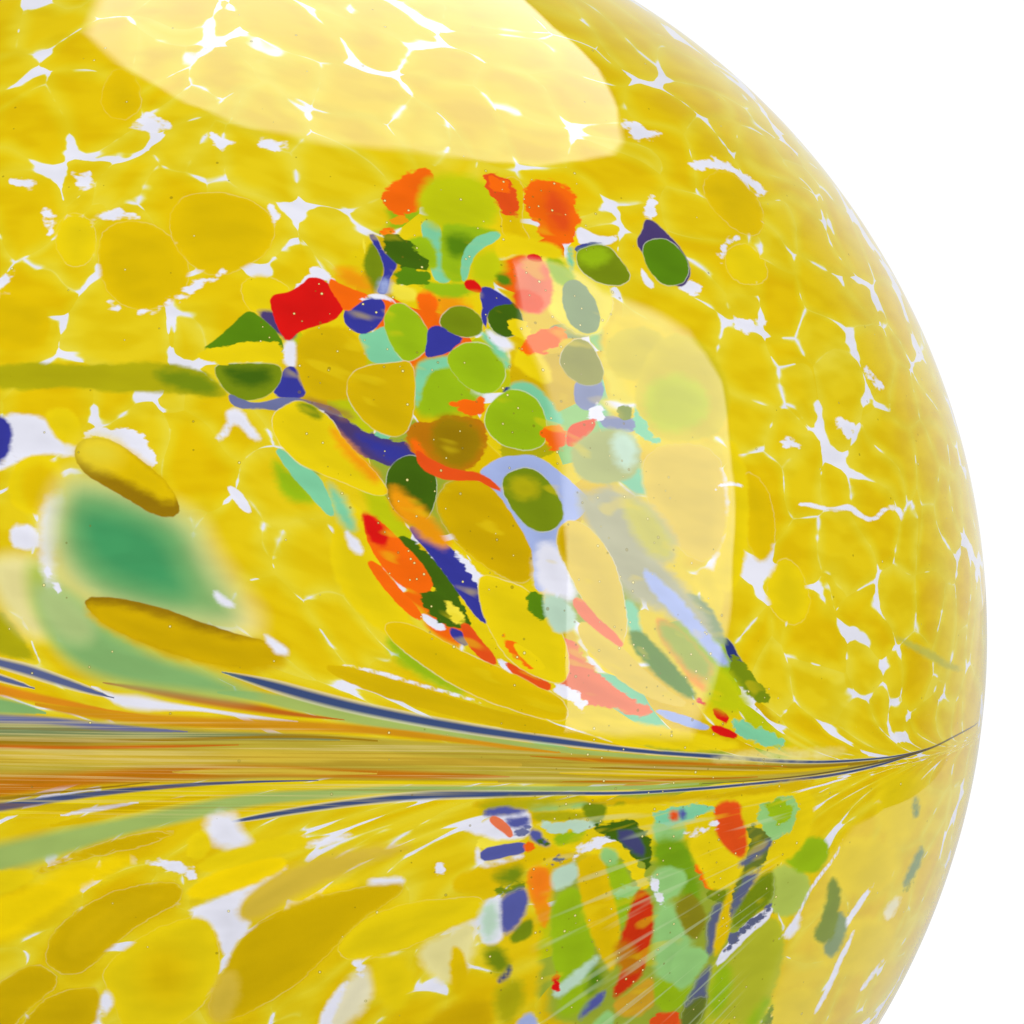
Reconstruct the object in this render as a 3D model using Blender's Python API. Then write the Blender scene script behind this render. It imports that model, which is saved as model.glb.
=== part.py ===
"""Gazing ball: one sealed, hand-blown glass globe that stands on a small polished flat.

Units are metres, +Z is up, and the origin is the middle of the flat that the ball rests on.
The real ball is hollow and sealed, so it is modelled as one solid with its true outer shape.
"""

import math

import bmesh
import bpy

# Driving dimensions of the ball
BALL_DIAMETER = 0.254
REST_FLAT_DIAMETER = 0.032
REST_EDGE_RADIUS = 0.004

# How finely the round shape is divided
TURNS_ROUND = 72
RINGS_DOWN = 38
RINGS_IN_EDGE = 3

# Clear yellow glass over a white core
GLASS_COLOUR = (0.79, 0.61, 0.012, 1.0)
GLASS_ROUGHNESS = 0.03
GLASS_METALLIC = 0.0
GLASS_IOR = 1.5
SMOOTH_BELOW_ANGLE = math.radians(30.0)


def clear_scene():
    """Removes what a new file starts with."""
    for item in list(bpy.data.objects):
        bpy.data.objects.remove(item, do_unlink=True)


def turned_profile():
    """Points (distance from the axis, height) from the top of the ball down to the middle of its flat."""
    ball_radius = BALL_DIAMETER / 2
    flat_radius = REST_FLAT_DIAMETER / 2
    reach = ball_radius - REST_EDGE_RADIUS
    centre_height = REST_EDGE_RADIUS + math.sqrt(reach**2 - flat_radius**2)
    edge_starts = math.pi - math.asin(flat_radius / reach)

    points = []
    for ring in range(RINGS_DOWN + 1):
        angle = edge_starts * ring / RINGS_DOWN
        points.append(
            (
                ball_radius * math.sin(angle),
                centre_height + ball_radius * math.cos(angle),
            )
        )
    for ring in range(1, RINGS_IN_EDGE + 1):
        angle = edge_starts + (math.pi - edge_starts) * ring / RINGS_IN_EDGE
        points.append(
            (
                flat_radius + REST_EDGE_RADIUS * math.sin(angle),
                REST_EDGE_RADIUS + REST_EDGE_RADIUS * math.cos(angle),
            )
        )
    return points


def ball_mesh():
    """The closed surface of the ball: its profile turned about Z, and the flat filled in as one face."""
    top, *sides = turned_profile()
    shape = bmesh.new()
    pole = shape.verts.new((0.0, 0.0, top[1]))
    rings = []
    for radius, height in sides:
        ring = []
        for turn in range(TURNS_ROUND):
            angle = 2 * math.pi * turn / TURNS_ROUND
            ring.append(
                shape.verts.new(
                    (radius * math.cos(angle), radius * math.sin(angle), height)
                )
            )
        rings.append(ring)

    for turn in range(TURNS_ROUND):
        after = (turn + 1) % TURNS_ROUND
        shape.faces.new((pole, rings[0][turn], rings[0][after]))
        for upper, lower in zip(rings, rings[1:]):
            shape.faces.new((upper[turn], lower[turn], lower[after], upper[after]))
    shape.faces.new(list(reversed(rings[-1])))
    bmesh.ops.recalc_face_normals(shape, faces=shape.faces)

    mesh = bpy.data.meshes.new("glass_ball")
    shape.to_mesh(mesh)
    shape.free()
    mesh.shade_smooth()
    mesh.set_sharp_from_angle(angle=SMOOTH_BELOW_ANGLE)
    return mesh


def glass_material():
    """Yellow glass as it looks from a step away."""
    material = bpy.data.materials.new("yellow_glass")
    material.use_nodes = True
    shader = material.node_tree.nodes["Principled BSDF"]
    shader.inputs["Base Color"].default_value = GLASS_COLOUR
    shader.inputs["Roughness"].default_value = GLASS_ROUGHNESS
    shader.inputs["Metallic"].default_value = GLASS_METALLIC
    shader.inputs["IOR"].default_value = GLASS_IOR
    return material


def main():
    clear_scene()
    ball = bpy.data.objects.new("glass_ball", ball_mesh())
    ball.data.materials.append(glass_material())
    bpy.context.scene.collection.objects.link(ball)


main()
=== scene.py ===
# %% [markdown]
# # A gazing ball of blown glass
# This lesson dresses a plain turned ball as a hand-blown one. The real ball starts as a white gather.
# It is rolled in coarse yellow chips, then in a narrow streak of mixed colours, cased in clear glass
# and blown out. A tool was drawn through the hot wall once, which left a crease and pulled the
# chips along it into threads.

# %% Load the frame
import math
from typing import NamedTuple

import bpy
import numpy as np
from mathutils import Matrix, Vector


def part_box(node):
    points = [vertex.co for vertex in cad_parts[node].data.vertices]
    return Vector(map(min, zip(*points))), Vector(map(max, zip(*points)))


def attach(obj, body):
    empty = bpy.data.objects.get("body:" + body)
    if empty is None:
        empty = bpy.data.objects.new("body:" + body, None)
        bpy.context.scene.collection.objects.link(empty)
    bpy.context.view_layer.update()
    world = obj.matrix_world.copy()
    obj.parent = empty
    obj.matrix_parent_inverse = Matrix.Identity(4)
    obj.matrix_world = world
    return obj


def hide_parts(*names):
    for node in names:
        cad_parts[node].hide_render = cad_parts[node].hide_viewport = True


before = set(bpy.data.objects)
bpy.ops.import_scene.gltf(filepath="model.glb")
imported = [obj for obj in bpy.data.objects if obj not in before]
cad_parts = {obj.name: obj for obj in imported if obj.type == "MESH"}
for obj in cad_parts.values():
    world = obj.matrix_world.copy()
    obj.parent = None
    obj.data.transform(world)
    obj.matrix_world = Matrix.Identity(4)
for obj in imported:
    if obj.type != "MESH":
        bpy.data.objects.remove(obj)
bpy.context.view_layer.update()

# %% [markdown]
# ## The ball's own measures
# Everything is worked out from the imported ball: its radius, the height of its middle, and the small
# flat that it rests on. Lengths in the glass are easier to judge in millimetres, so `MM` is kept.

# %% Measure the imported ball
MM = 0.001
ON_THE_FLOOR = 0.01 * MM
cad_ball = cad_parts["glass_ball"]
low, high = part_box("glass_ball")
RADIUS = (high.x - low.x) / 2
MIDDLE = Vector((0.0, 0.0, high.z - RADIUS))
MM_PER_DEGREE = math.radians(1) * RADIUS / MM
corners = np.array([vertex.co for vertex in cad_ball.data.vertices])
lowest = corners[:, 2] < low.z + ON_THE_FLOOR
FLAT_RADIUS = float(np.hypot(*corners[lowest, :2].T).max())
print(f"radius {RADIUS / MM:.2f} mm, middle {MIDDLE.z / MM:.2f} mm up, flat {FLAT_RADIUS / MM:.1f} mm")

# %% [markdown]
# ## The camera
# The photograph was taken from nearly level with a long lens. It shows the ball off to the left and
# cut by the frame, so the ball's middle and its outline's radius are given in the photograph's
# pixels, and the lens and the aim follow from them.

# %% Camera
PHOTO_WIDTH = 1024
BALL_X, BALL_Y, BALL_OUTLINE = 240.2, 635.3, 748.5
CAMERA_DISTANCE = 1.5
CAMERA_ELEVATION = math.radians(2.5)
SENSOR_WIDTH = 36.0
CLIP_START, CLIP_END = 0.01, 100.0

pixels_per_slope = BALL_OUTLINE * math.sqrt(CAMERA_DISTANCE**2 - RADIUS**2) / RADIUS
towards_camera = Vector((0.0, -math.cos(CAMERA_ELEVATION), math.sin(CAMERA_ELEVATION)))


def in_scene(name, data):
    """A new object in the scene."""
    thing = bpy.data.objects.new(name, data)
    bpy.context.scene.collection.objects.link(thing)
    return thing


camera_data = bpy.data.cameras.new("camera")
camera_data.sensor_width = SENSOR_WIDTH
camera_data.lens = pixels_per_slope * SENSOR_WIDTH / PHOTO_WIDTH
camera_data.clip_start, camera_data.clip_end = CLIP_START, CLIP_END
camera = in_scene("camera", camera_data)
bpy.context.scene.camera = camera

ball_in_view = Vector((BALL_X - PHOTO_WIDTH / 2, PHOTO_WIDTH / 2 - BALL_Y, -pixels_per_slope))
turn_aside = ball_in_view.normalized().rotation_difference(Vector((0.0, 0.0, -1.0)))
camera.location = MIDDLE + CAMERA_DISTANCE * towards_camera
camera.rotation_mode = "QUATERNION"
camera.rotation_quaternion = (-towards_camera).to_track_quat("-Z", "Y") @ turn_aside
print(f"lens {camera_data.lens:.0f} mm")

# %% [markdown]
# ## Between the photograph and the ball
# Chips and reflections are placed by where they show in the photograph. `seen_at` turns points of
# the scene into the photograph's pixels, and `ball_point` goes back from a pixel to the ball.

# %% From pixels to the ball and back
CAMERA_TURN = np.array(camera.rotation_quaternion.to_matrix())
CAMERA_PLACE = np.array(camera.location)


def seen_at(points):
    """The photograph's pixels at which points of the scene show."""
    local = (points - CAMERA_PLACE) @ CAMERA_TURN
    scale = pixels_per_slope / -local[:, 2]
    return np.c_[PHOTO_WIDTH / 2 + local[:, 0] * scale, PHOTO_WIDTH / 2 - local[:, 1] * scale]


def ball_point(x_px, y_px):
    """The point of the ball that shows at a pixel, and the direction of sight there."""
    across, up = x_px - PHOTO_WIDTH / 2, PHOTO_WIDTH / 2 - y_px
    sight = Vector(CAMERA_TURN @ np.array([across, up, -pixels_per_slope])).normalized()
    to_middle = MIDDLE - camera.location
    along = to_middle.dot(sight)
    missed_by = max(0.0, RADIUS**2 - (to_middle.length_squared - along**2))
    return camera.location + (along - math.sqrt(missed_by)) * sight, sight


# %% [markdown]
# ## Sums as nodes
# A shader's sums are chains of Math nodes. `Wire` lets them be written as ordinary sums: each
# operator adds the node that it stands for.

# %% Helpers for node sums


class Wire:
    """A socket's output that can be added, multiplied and so on."""

    def __init__(self, tree, socket):
        self.tree, self.socket = tree, socket

    def apply(self, operation, *others):
        node = self.tree.nodes.new("ShaderNodeMath")
        node.operation = operation
        connect(self.tree, node.inputs, (self, *others))
        return Wire(self.tree, node.outputs[0])

    def __add__(self, other):
        return self.apply("ADD", other)

    def __sub__(self, other):
        return self.apply("SUBTRACT", other)

    def __mul__(self, other):
        return self.apply("MULTIPLY", other)

    def __truediv__(self, other):
        return self.apply("DIVIDE", other)

    def rest(self):
        """What is left of one."""
        return self * -1.0 + 1.0

    def from_to(self, start, end, low=0.0, high=1.0):
        """low where this is start, high where it is end, and a smooth slope between."""
        node = self.tree.nodes.new("ShaderNodeMapRange")
        node.interpolation_type = "SMOOTHSTEP"
        connect(self.tree, node.inputs, (self, start, end, low, high))
        return Wire(self.tree, node.outputs["Result"])


def connect(tree, slots, values):
    """Links each wire to its input, and sets each plain value on it."""
    for slot, value in zip(slots, values):
        if isinstance(value, Wire):
            tree.links.new(value.socket, slot)
        elif slot.type == "RGBA" and len(value) == 3:
            slot.default_value = (*value, 1.0)
        else:
            slot.default_value = value


def put(tree, node_type, *values, out=0, **settings):
    """Adds a node with these settings and input values, and gives one output as a Wire."""
    node = tree.nodes.new(node_type)
    named = settings.pop("named", {})
    for name, value in settings.items():
        setattr(node, name, value)
    connect(tree, node.inputs, values)
    for name, value in named.items():
        connect(tree, [node.inputs[name]], [value])
    return Wire(tree, node.outputs[out])


def output_of(wire, name):
    """Another output of the node that a wire comes from."""
    return Wire(wire.tree, wire.socket.node.outputs[name])


def parts(tree, wire):
    """The three values of a vector or colour."""
    node = put(tree, "ShaderNodeSeparateXYZ", wire).socket.node
    return [Wire(tree, socket) for socket in node.outputs]


def attribute(tree, name, out="Vector"):
    """A value stored on the points of a mesh."""
    wire = put(tree, "ShaderNodeAttribute", attribute_name=name)
    return output_of(wire, out)


# %% [markdown]
# ## The light
# A white tent lights the ball evenly, so the world gives the same light from all sides, and the
# background is white. Glass is dark where it mirrors something dark: reflections see a dark room
# in front, and a bright sheet behind that fades to the sides. Light that is this even needs few
# bounces and no sampling of its own, which keeps the render quick.

# %% World
ROOM_FRONT, ROOM_BEHIND = 0.04, 0.85
BEHIND_STARTS, BEHIND_FULL = 0.55, 0.99
TENT_LIGHT = 1.04
WHITE = (1.0, 1.0, 1.0, 1.0)

world = bpy.data.worlds.new("white_tent")
world.use_nodes = True
world.cycles.sampling_method = "NONE"
bpy.context.scene.world = world
bpy.context.scene.view_settings.view_transform = "Standard"
bpy.context.scene.cycles.diffuse_bounces = 1
bpy.context.scene.cycles.glossy_bounces = 2
tree = world.node_tree
tree.nodes.clear()
_, depth, _ = parts(tree, output_of(put(tree, "ShaderNodeTexCoord"), "Generated"))
room = depth.from_to(BEHIND_STARTS, BEHIND_FULL, ROOM_FRONT, ROOM_BEHIND)
mirrored = output_of(put(tree, "ShaderNodeLightPath"), "Is Glossy Ray")
strength = put(tree, "ShaderNodeMix", mirrored, named={"A": TENT_LIGHT, "B": room})
light = put(tree, "ShaderNodeBackground", WHITE, strength)
tree.links.new(light.socket, tree.nodes.new("ShaderNodeOutputWorld").inputs["Surface"])

# %% [markdown]
# ## Panels that only the glass mirrors
# A panel is a flat glowing sheet that shows in reflections and nowhere else. Its light fades to
# that of the dark room between an inner outline and the outer one, as at a real softbox's edge.

# %% Panels


def panel(name, outer, inner, strength):
    """A glowing sheet that fades out from its inner outline to its outer one."""
    mesh = bpy.data.meshes.new(name)
    count = len(outer)
    sides = [(side, (side + 1) % count) for side in range(count)]
    ring = [(start, end, count + end, count + start) for start, end in sides]
    mesh.from_pydata(inner + outer, [], [list(range(count))] + ring)
    fade = mesh.attributes.new("fade", "FLOAT", "POINT")
    fade.data.foreach_set("value", [1.0] * count + [0.0] * count)
    glow = bpy.data.materials.new(name)
    glow.use_nodes = True
    glow.cycles.emission_sampling = "NONE"
    tree = glow.node_tree
    tree.nodes.clear()
    brightness = attribute(tree, "fade", "Fac").from_to(0.0, 1.0, ROOM_FRONT, strength)
    emission = put(tree, "ShaderNodeEmission", named={"Strength": brightness})
    tree.links.new(emission.socket, tree.nodes.new("ShaderNodeOutputMaterial").inputs["Surface"])
    mesh.materials.append(glow)
    sheet = in_scene(name, mesh)
    sheet.visible_camera = False
    sheet.visible_diffuse = False
    sheet.visible_shadow = False
    return sheet


# %% [markdown]
# Two softboxes show as pale patches on the glass. Each is placed by its mirror image: a line of
# sight is bounced off the ball at each corner of the patch, and the panel is cut by those bounced
# lines, so its reflection lands where the photograph shows it.

# %% Softboxes
SOFTBOX_DISTANCE = 1.2


def bounced(x_px, y_px):
    """A line of sight mirrored by the ball: where it leaves and which way it goes."""
    point, sight = ball_point(x_px, y_px)
    normal = (point - MIDDLE).normalized()
    return point, sight - 2 * sight.dot(normal) * normal


def softbox(name, corners_px, strength):
    """A panel whose mirror image has these corners, each with the width that it fades over there."""
    corners = np.array(corners_px, float)
    inward = corners[:, :2].mean(axis=0) - corners[:, :2]
    inward /= np.hypot(*inward.T)[:, None]
    step = inward * corners[:, 2:] / 2
    bounces = [bounced(*corner) for corner in np.r_[corners[:, :2] + step, corners[:, :2] - step]]
    facing = sum((way for _, way in bounces), Vector()).normalized()
    panel_middle = MIDDLE + SOFTBOX_DISTANCE * facing
    places = [point + way * (panel_middle - point).dot(facing) / way.dot(facing) for point, way in bounces]
    return panel(name, places[len(corners):], places[:len(corners)], strength)


softbox(
    "softbox_overhead",
    [(86, 34, 22), (120, 66, 18), (152, 84, 14), (187, 103, 12), (232, 120, 14), (277, 131, 18),
     (330, 141, 16), (384, 149, 12), (437, 156, 10), (491, 162, 10), (536, 168, 10), (585, 162, 12),
     (612, 154, 14), (622, 140, 12), (616, 107, 6), (598, 67, 5), (580, 49, 5), (553, 27, 5),
     (527, 2, 5), (420, -70, 5), (200, -70, 5), (110, -20, 20)],
    strength=3.9,
)
softbox(
    "softbox_right",
    [(512, 262, 14), (524, 256, 12), (550, 262, 10), (578, 274, 10), (603, 291, 14), (628, 300, 14),
     (653, 311, 14), (689, 331, 12), (706, 352, 8), (721, 381, 5), (728, 420, 4), (731, 470, 4),
     (733, 560, 5), (724, 641, 12), (706, 699, 24), (690, 741, 30), (620, 745, 20), (564, 738, 8),
     (565, 670, 5), (566, 600, 5), (567, 530, 8), (562, 450, 16), (548, 390, 24), (522, 330, 22)],
    strength=3.8,
)

# %% [markdown]
# ## The table
# A round white table carries the ball. A white sheet starts on it just beside the ball, to the
# right, and runs on far behind. The glass mirrors it as a pale wash low on the right. Its corners
# were found as the softboxes' were, but on the table's level. Its near edge fades, and its far
# edges are sharp.

# %% Table
TABLE_RADIUS, TABLE_SIDES = 0.42, 64
TABLE_COLOUR, TABLE_ROUGHNESS = (0.96, 0.96, 0.96, 1.0), 0.9
SHEET_CORNERS = [
    (0.19, 0.42), (0.13, 0.15), (0.13, -0.03), (0.176, -0.035), (0.211, -0.034), (0.263, -0.028),
    (0.331, 0.004), (0.398, 0.056), (0.452, 0.15), (0.48, 0.26), (0.70, 0.82), (0.98, 1.84),
    (1.6, 4.0), (-2.0, 4.0),
]
SHEET_LIGHT, SHEET_FADE, SHEET_SHARP_FROM = 0.68, 0.034, 0.12
SHEET_INSIDE = Vector((0.32, 0.60, 0.0))

turns = [2 * math.pi * side / TABLE_SIDES for side in range(TABLE_SIDES)]
table_mesh = bpy.data.meshes.new("table")
table_rim = [(TABLE_RADIUS * math.cos(turn), TABLE_RADIUS * math.sin(turn), 0.0) for turn in turns]
table_mesh.from_pydata(table_rim, [], [list(range(TABLE_SIDES))])
table_paint = bpy.data.materials.new("white_table")
table_paint.use_nodes = True
table_shader = table_paint.node_tree.nodes["Principled BSDF"]
table_shader.inputs["Base Color"].default_value = TABLE_COLOUR
table_shader.inputs["Roughness"].default_value = TABLE_ROUGHNESS
table_shader.inputs["Specular IOR Level"].default_value = 0.0
table_mesh.materials.append(table_paint)
table = in_scene("table", table_mesh)
table.visible_glossy = False
sheet_outer = [Vector((x, y, 0.0)) for x, y in SHEET_CORNERS]
sheet_inner = [
    corner.lerp(SHEET_INSIDE, SHEET_FADE) if corner.y < SHEET_SHARP_FROM else corner
    for corner in sheet_outer
]
panel("white_sheet", sheet_outer, sheet_inner, SHEET_LIGHT)

# %% [markdown]
# ## Groups of nodes
# An effect is easiest to read as a node group with named inputs and outputs. These helpers make a
# group, close it and place it in a material.

# %% Helpers for vectors, colours and node groups


def vector(tree, operation, *values):
    """A sum of vectors."""
    return put(tree, "ShaderNodeVectorMath", *values, operation=operation)


def joined(tree, *values):
    """Three values as one vector."""
    return put(tree, "ShaderNodeCombineXYZ", *values)


def mixed(tree, factor, first, second):
    """Two colours mixed by a factor. A Mix node's colours are its inputs 6 and 7 and its output 2."""
    node = tree.nodes.new("ShaderNodeMix")
    node.data_type = "RGBA"
    connect(tree, (node.inputs[0], node.inputs[6], node.inputs[7]), (factor, first, second))
    return Wire(tree, node.outputs[2])


def new_group(name, inputs, outputs):
    """An empty shader node group with named sockets. Gives it with its input wires by name."""
    group = bpy.data.node_groups.new(name, "ShaderNodeTree")
    kinds = {"value": "NodeSocketFloat", "vector": "NodeSocketVector", "colour": "NodeSocketColor"}
    for socket_name, kind in inputs.items():
        group.interface.new_socket(socket_name, in_out="INPUT", socket_type=kinds[kind])
    for socket_name, kind in outputs.items():
        group.interface.new_socket(socket_name, in_out="OUTPUT", socket_type=kinds[kind])
    entry = group.nodes.new("NodeGroupInput")
    return group, {name: Wire(group, entry.outputs[name]) for name in inputs}


def finish_group(group, **outputs):
    """Links the wires that a group gives."""
    end = group.nodes.new("NodeGroupOutput")
    for name, wire in outputs.items():
        group.links.new(wire.socket, end.inputs[name])


def use_group(tree, group, **inputs):
    """Places a group in a tree. Its outputs come back as wires by name."""
    node = tree.nodes.new("ShaderNodeGroup")
    node.node_tree = group
    for name, value in inputs.items():
        connect(tree, [node.inputs[name]], [value])
    return {output.name: Wire(tree, output) for output in node.outputs}


# %% [markdown]
# ## How the crease moved the glass
# The tool pulled glass along the crease to the right, and the glass on both sides was drawn in
# towards a point. A chip was round before that. So the pattern is not bent itself: for each point
# of the finished ball, this group finds where that glass lay before, and the chips are drawn there.
# Its lengths are in millimetres and its angles in degrees.

# %% The worked-glass group
CREASE_LATITUDE, CREASE_DIP = -6.9, -1.6
DIP_LONGITUDE, DIP_WIDTH = 50.0, 24.0
POINT_LONGITUDE = 70.0
NARROWING, WIDEST = 2.3, 1.6
DRAWN_IN, DRAWN_IN_REACH, DRAWN_IN_LEAST = 23.0, 14.0, 0.35
DRAWN_IN_FADES, POLES_FADE = (85.0, 130.0), (86.0, 48.0)
PULLED_ALONG, PULL_REACH, PULL_LEAST, PULL_NARROWING = 62.0, 15.0, 0.8, 0.55
PULL_STARTS, PULL_FADES = (-110.0, 20.0), (45.0, 85.0)


def worked_glass_group():
    tree, wire = new_group(
        "worked_glass",
        {"Place": "vector"},
        {"Before": "vector", "Across": "value", "Lane": "value", "Longitude": "value"},
    )
    direction = vector(tree, "NORMALIZE", vector(tree, "SUBTRACT", wire["Place"], tuple(MIDDLE)))
    x, y, z = parts(tree, direction)
    longitude = x.apply("ARCTAN2", y * -1.0) * math.degrees(1)
    latitude = z.apply("ARCSINE") * math.degrees(1)
    off_dip = ((longitude - DIP_LONGITUDE) / DIP_WIDTH).apply("POWER", 2.0)
    crease = (off_dip * -1.0).apply("EXPONENT") * CREASE_DIP + CREASE_LATITUDE
    across = (latitude - crease) * MM_PER_DEGREE
    to_point = (longitude * -1.0 + POINT_LONGITUDE) / POINT_LONGITUDE
    narrow = to_point.apply("MAXIMUM", 0.0).apply("MINIMUM", WIDEST).apply("POWER", NARROWING)
    drawn = narrow.apply("MINIMUM", 1.0).rest() * longitude.from_to(*DRAWN_IN_FADES, 1.0, 0.0) * DRAWN_IN
    drawn = drawn * latitude.apply("ABSOLUTE").from_to(*POLES_FADE)
    away = across.apply("ABSOLUTE")
    near = (away / (narrow * DRAWN_IN_REACH + DRAWN_IN_LEAST) * -1.0).apply("EXPONENT")
    lane = across + across.apply("SIGN") * near.rest() * drawn
    pull_reach = narrow.apply("POWER", PULL_NARROWING) * PULL_REACH + PULL_LEAST
    pulled = (away / pull_reach * -1.0).apply("EXPONENT")
    rise = longitude.from_to(*PULL_STARTS) * longitude.from_to(*PULL_FADES, 1.0, 0.0)
    turn = (longitude - pulled * rise * (PULLED_ALONG / MM_PER_DEGREE)) * math.radians(1)
    height = (lane / MM_PER_DEGREE + crease) * math.radians(1)
    ring = height.apply("COSINE") * (RADIUS / MM)
    before = joined(
        tree,
        turn.apply("SINE") * ring,
        turn.apply("COSINE") * ring * -1.0,
        height.apply("SINE") * (RADIUS / MM),
    )
    finish_group(tree, Before=before, Across=across, Lane=lane, Longitude=longitude)
    return tree


worked_glass = worked_glass_group()


# %% [markdown]
# ## The colours of the glass
# Each is picked where the photograph shows it plainly, on a chip or on a thread of the crease. Its
# name is what the chips, the threads and the streak's small chips call it by.

# %% Glass colours


def linear(red, green, blue):
    """A colour picked in the photograph, from 0 to 255, as light, by the usual sRGB formula."""
    return tuple(
        (part / 255 / 12.92) if part <= 10 else ((part / 255 + 0.055) / 1.055) ** 2.4
        for part in (red, green, blue)
    )


SEEN_COLOURS = {
    "white": (229, 229, 241), "milk": (233, 226, 190), "yellow": (231, 205, 14), "lemon": (238, 221, 62),
    "gold": (222, 188, 4), "ochre": (211, 177, 5), "bronze": (150, 116, 8), "amber": (236, 152, 14),
    "orange": (243, 104, 12), "red": (216, 22, 18), "brick": (226, 80, 24), "coral": (232, 118, 76),
    "brown": (150, 104, 50), "lime": (152, 185, 20), "chartreuse": (192, 198, 14), "green": (88, 132, 14),
    "forest": (66, 100, 14), "olive": (118, 138, 16), "khaki": (176, 169, 14), "aqua": (126, 202, 156),
    "teal": (70, 157, 97), "sea": (134, 180, 108), "blue": (54, 56, 150), "navy": (42, 54, 118),
    "violet": (75, 60, 112), "slate": (106, 112, 155), "lilac": (163, 178, 224), "dusk": (124, 134, 172),
    "sage": (128, 150, 100), "tan": (213, 183, 60), "mint": (148, 200, 118), "pale_aqua": (186, 214, 190),
    "honey": (207, 170, 2), "sun": (244, 212, 6), "haze": (232, 222, 150), "pale_lime": (178, 196, 84),
    "indigo": (84, 90, 160), "rust": (204, 50, 14), "brass": (212, 194, 30), "umber": (154, 122, 6),
    "lichen": (168, 177, 102), "moss": (142, 144, 52), "stone": (174, 173, 138), "pear": (157, 172, 50),
    "copper": (190, 118, 10), "old_gold": (208, 174, 2), "hay": (194, 188, 74), "straw": (222, 194, 66),
    "band": (190, 170, 56), "pale_sea": (168, 188, 96), "brown_orange": (196, 106, 26),
    "slate_green": (124, 140, 92), "deep_band": (158, 124, 18), "brick_band": (205, 108, 22),
    "deep_orange": (196, 118, 14), "crease_shade": (104, 92, 54), "ink": (62, 80, 124),
    "deep_slate": (88, 98, 140), "light_orange": (224, 142, 26), "old_amber": (212, 148, 22),
    "fern": (162, 187, 100), "pale_fern": (172, 194, 124), "orange_peel": (244, 128, 24),
    "night": (66, 68, 112), "leaf_green": (118, 160, 20), "bronze_green": (138, 132, 24),
    "wheat": (184, 188, 44), "sedge": (104, 118, 40), "steel": (92, 98, 130), "russet": (206, 158, 38),
}
GLASS = {name: linear(*seen) for name, seen in SEEN_COLOURS.items()}
print(len(GLASS), "colours of glass")

# %% [markdown]
# ## The large chips
# The chips that make this ball's streak are laid one on another, and no two are alike, so each is
# drawn one by one: its glass, its look, and its outline as a few corners. A corner is written as x,y in
# the photograph's pixels. A look says how soft the edge is, how far it wanders, and how plainly a
# pale hairline runs along it.

# %% Looks


def corners_of(text):
    """The corners written in a text: their numbers are parted by commas, and they by spaces."""
    return [tuple(float(part) for part in corner.split(",")) for corner in text.split()]


class Look(NamedTuple):
    """How a chip ends: widths in the photograph's pixels."""

    soft: float
    wander: float
    rim: float


# A look's rim sets how plainly a painted highlight, a pale hairline of glinting light, runs along the
# border.
CRISP = Look(1.8, 1.4, 0.0)
RIMMED = Look(2.4, 1.4, 0.40)
INKED = Look(2.2, 1.2, 0.15)
TORN = Look(2.6, 7.0, 0.0)
BLURRED = Look(5.5, 3.0, 0.0)
LINED = Look(7.0, 2.5, 0.14)
GAP = Look(3.4, 8.0, 0.0)
SOFT = Look(13.0, 4.0, 0.0)
HAZY = Look(24.0, 0.0, 0.0)
MELTED = Look(46.0, 0.0, 0.0)

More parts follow.
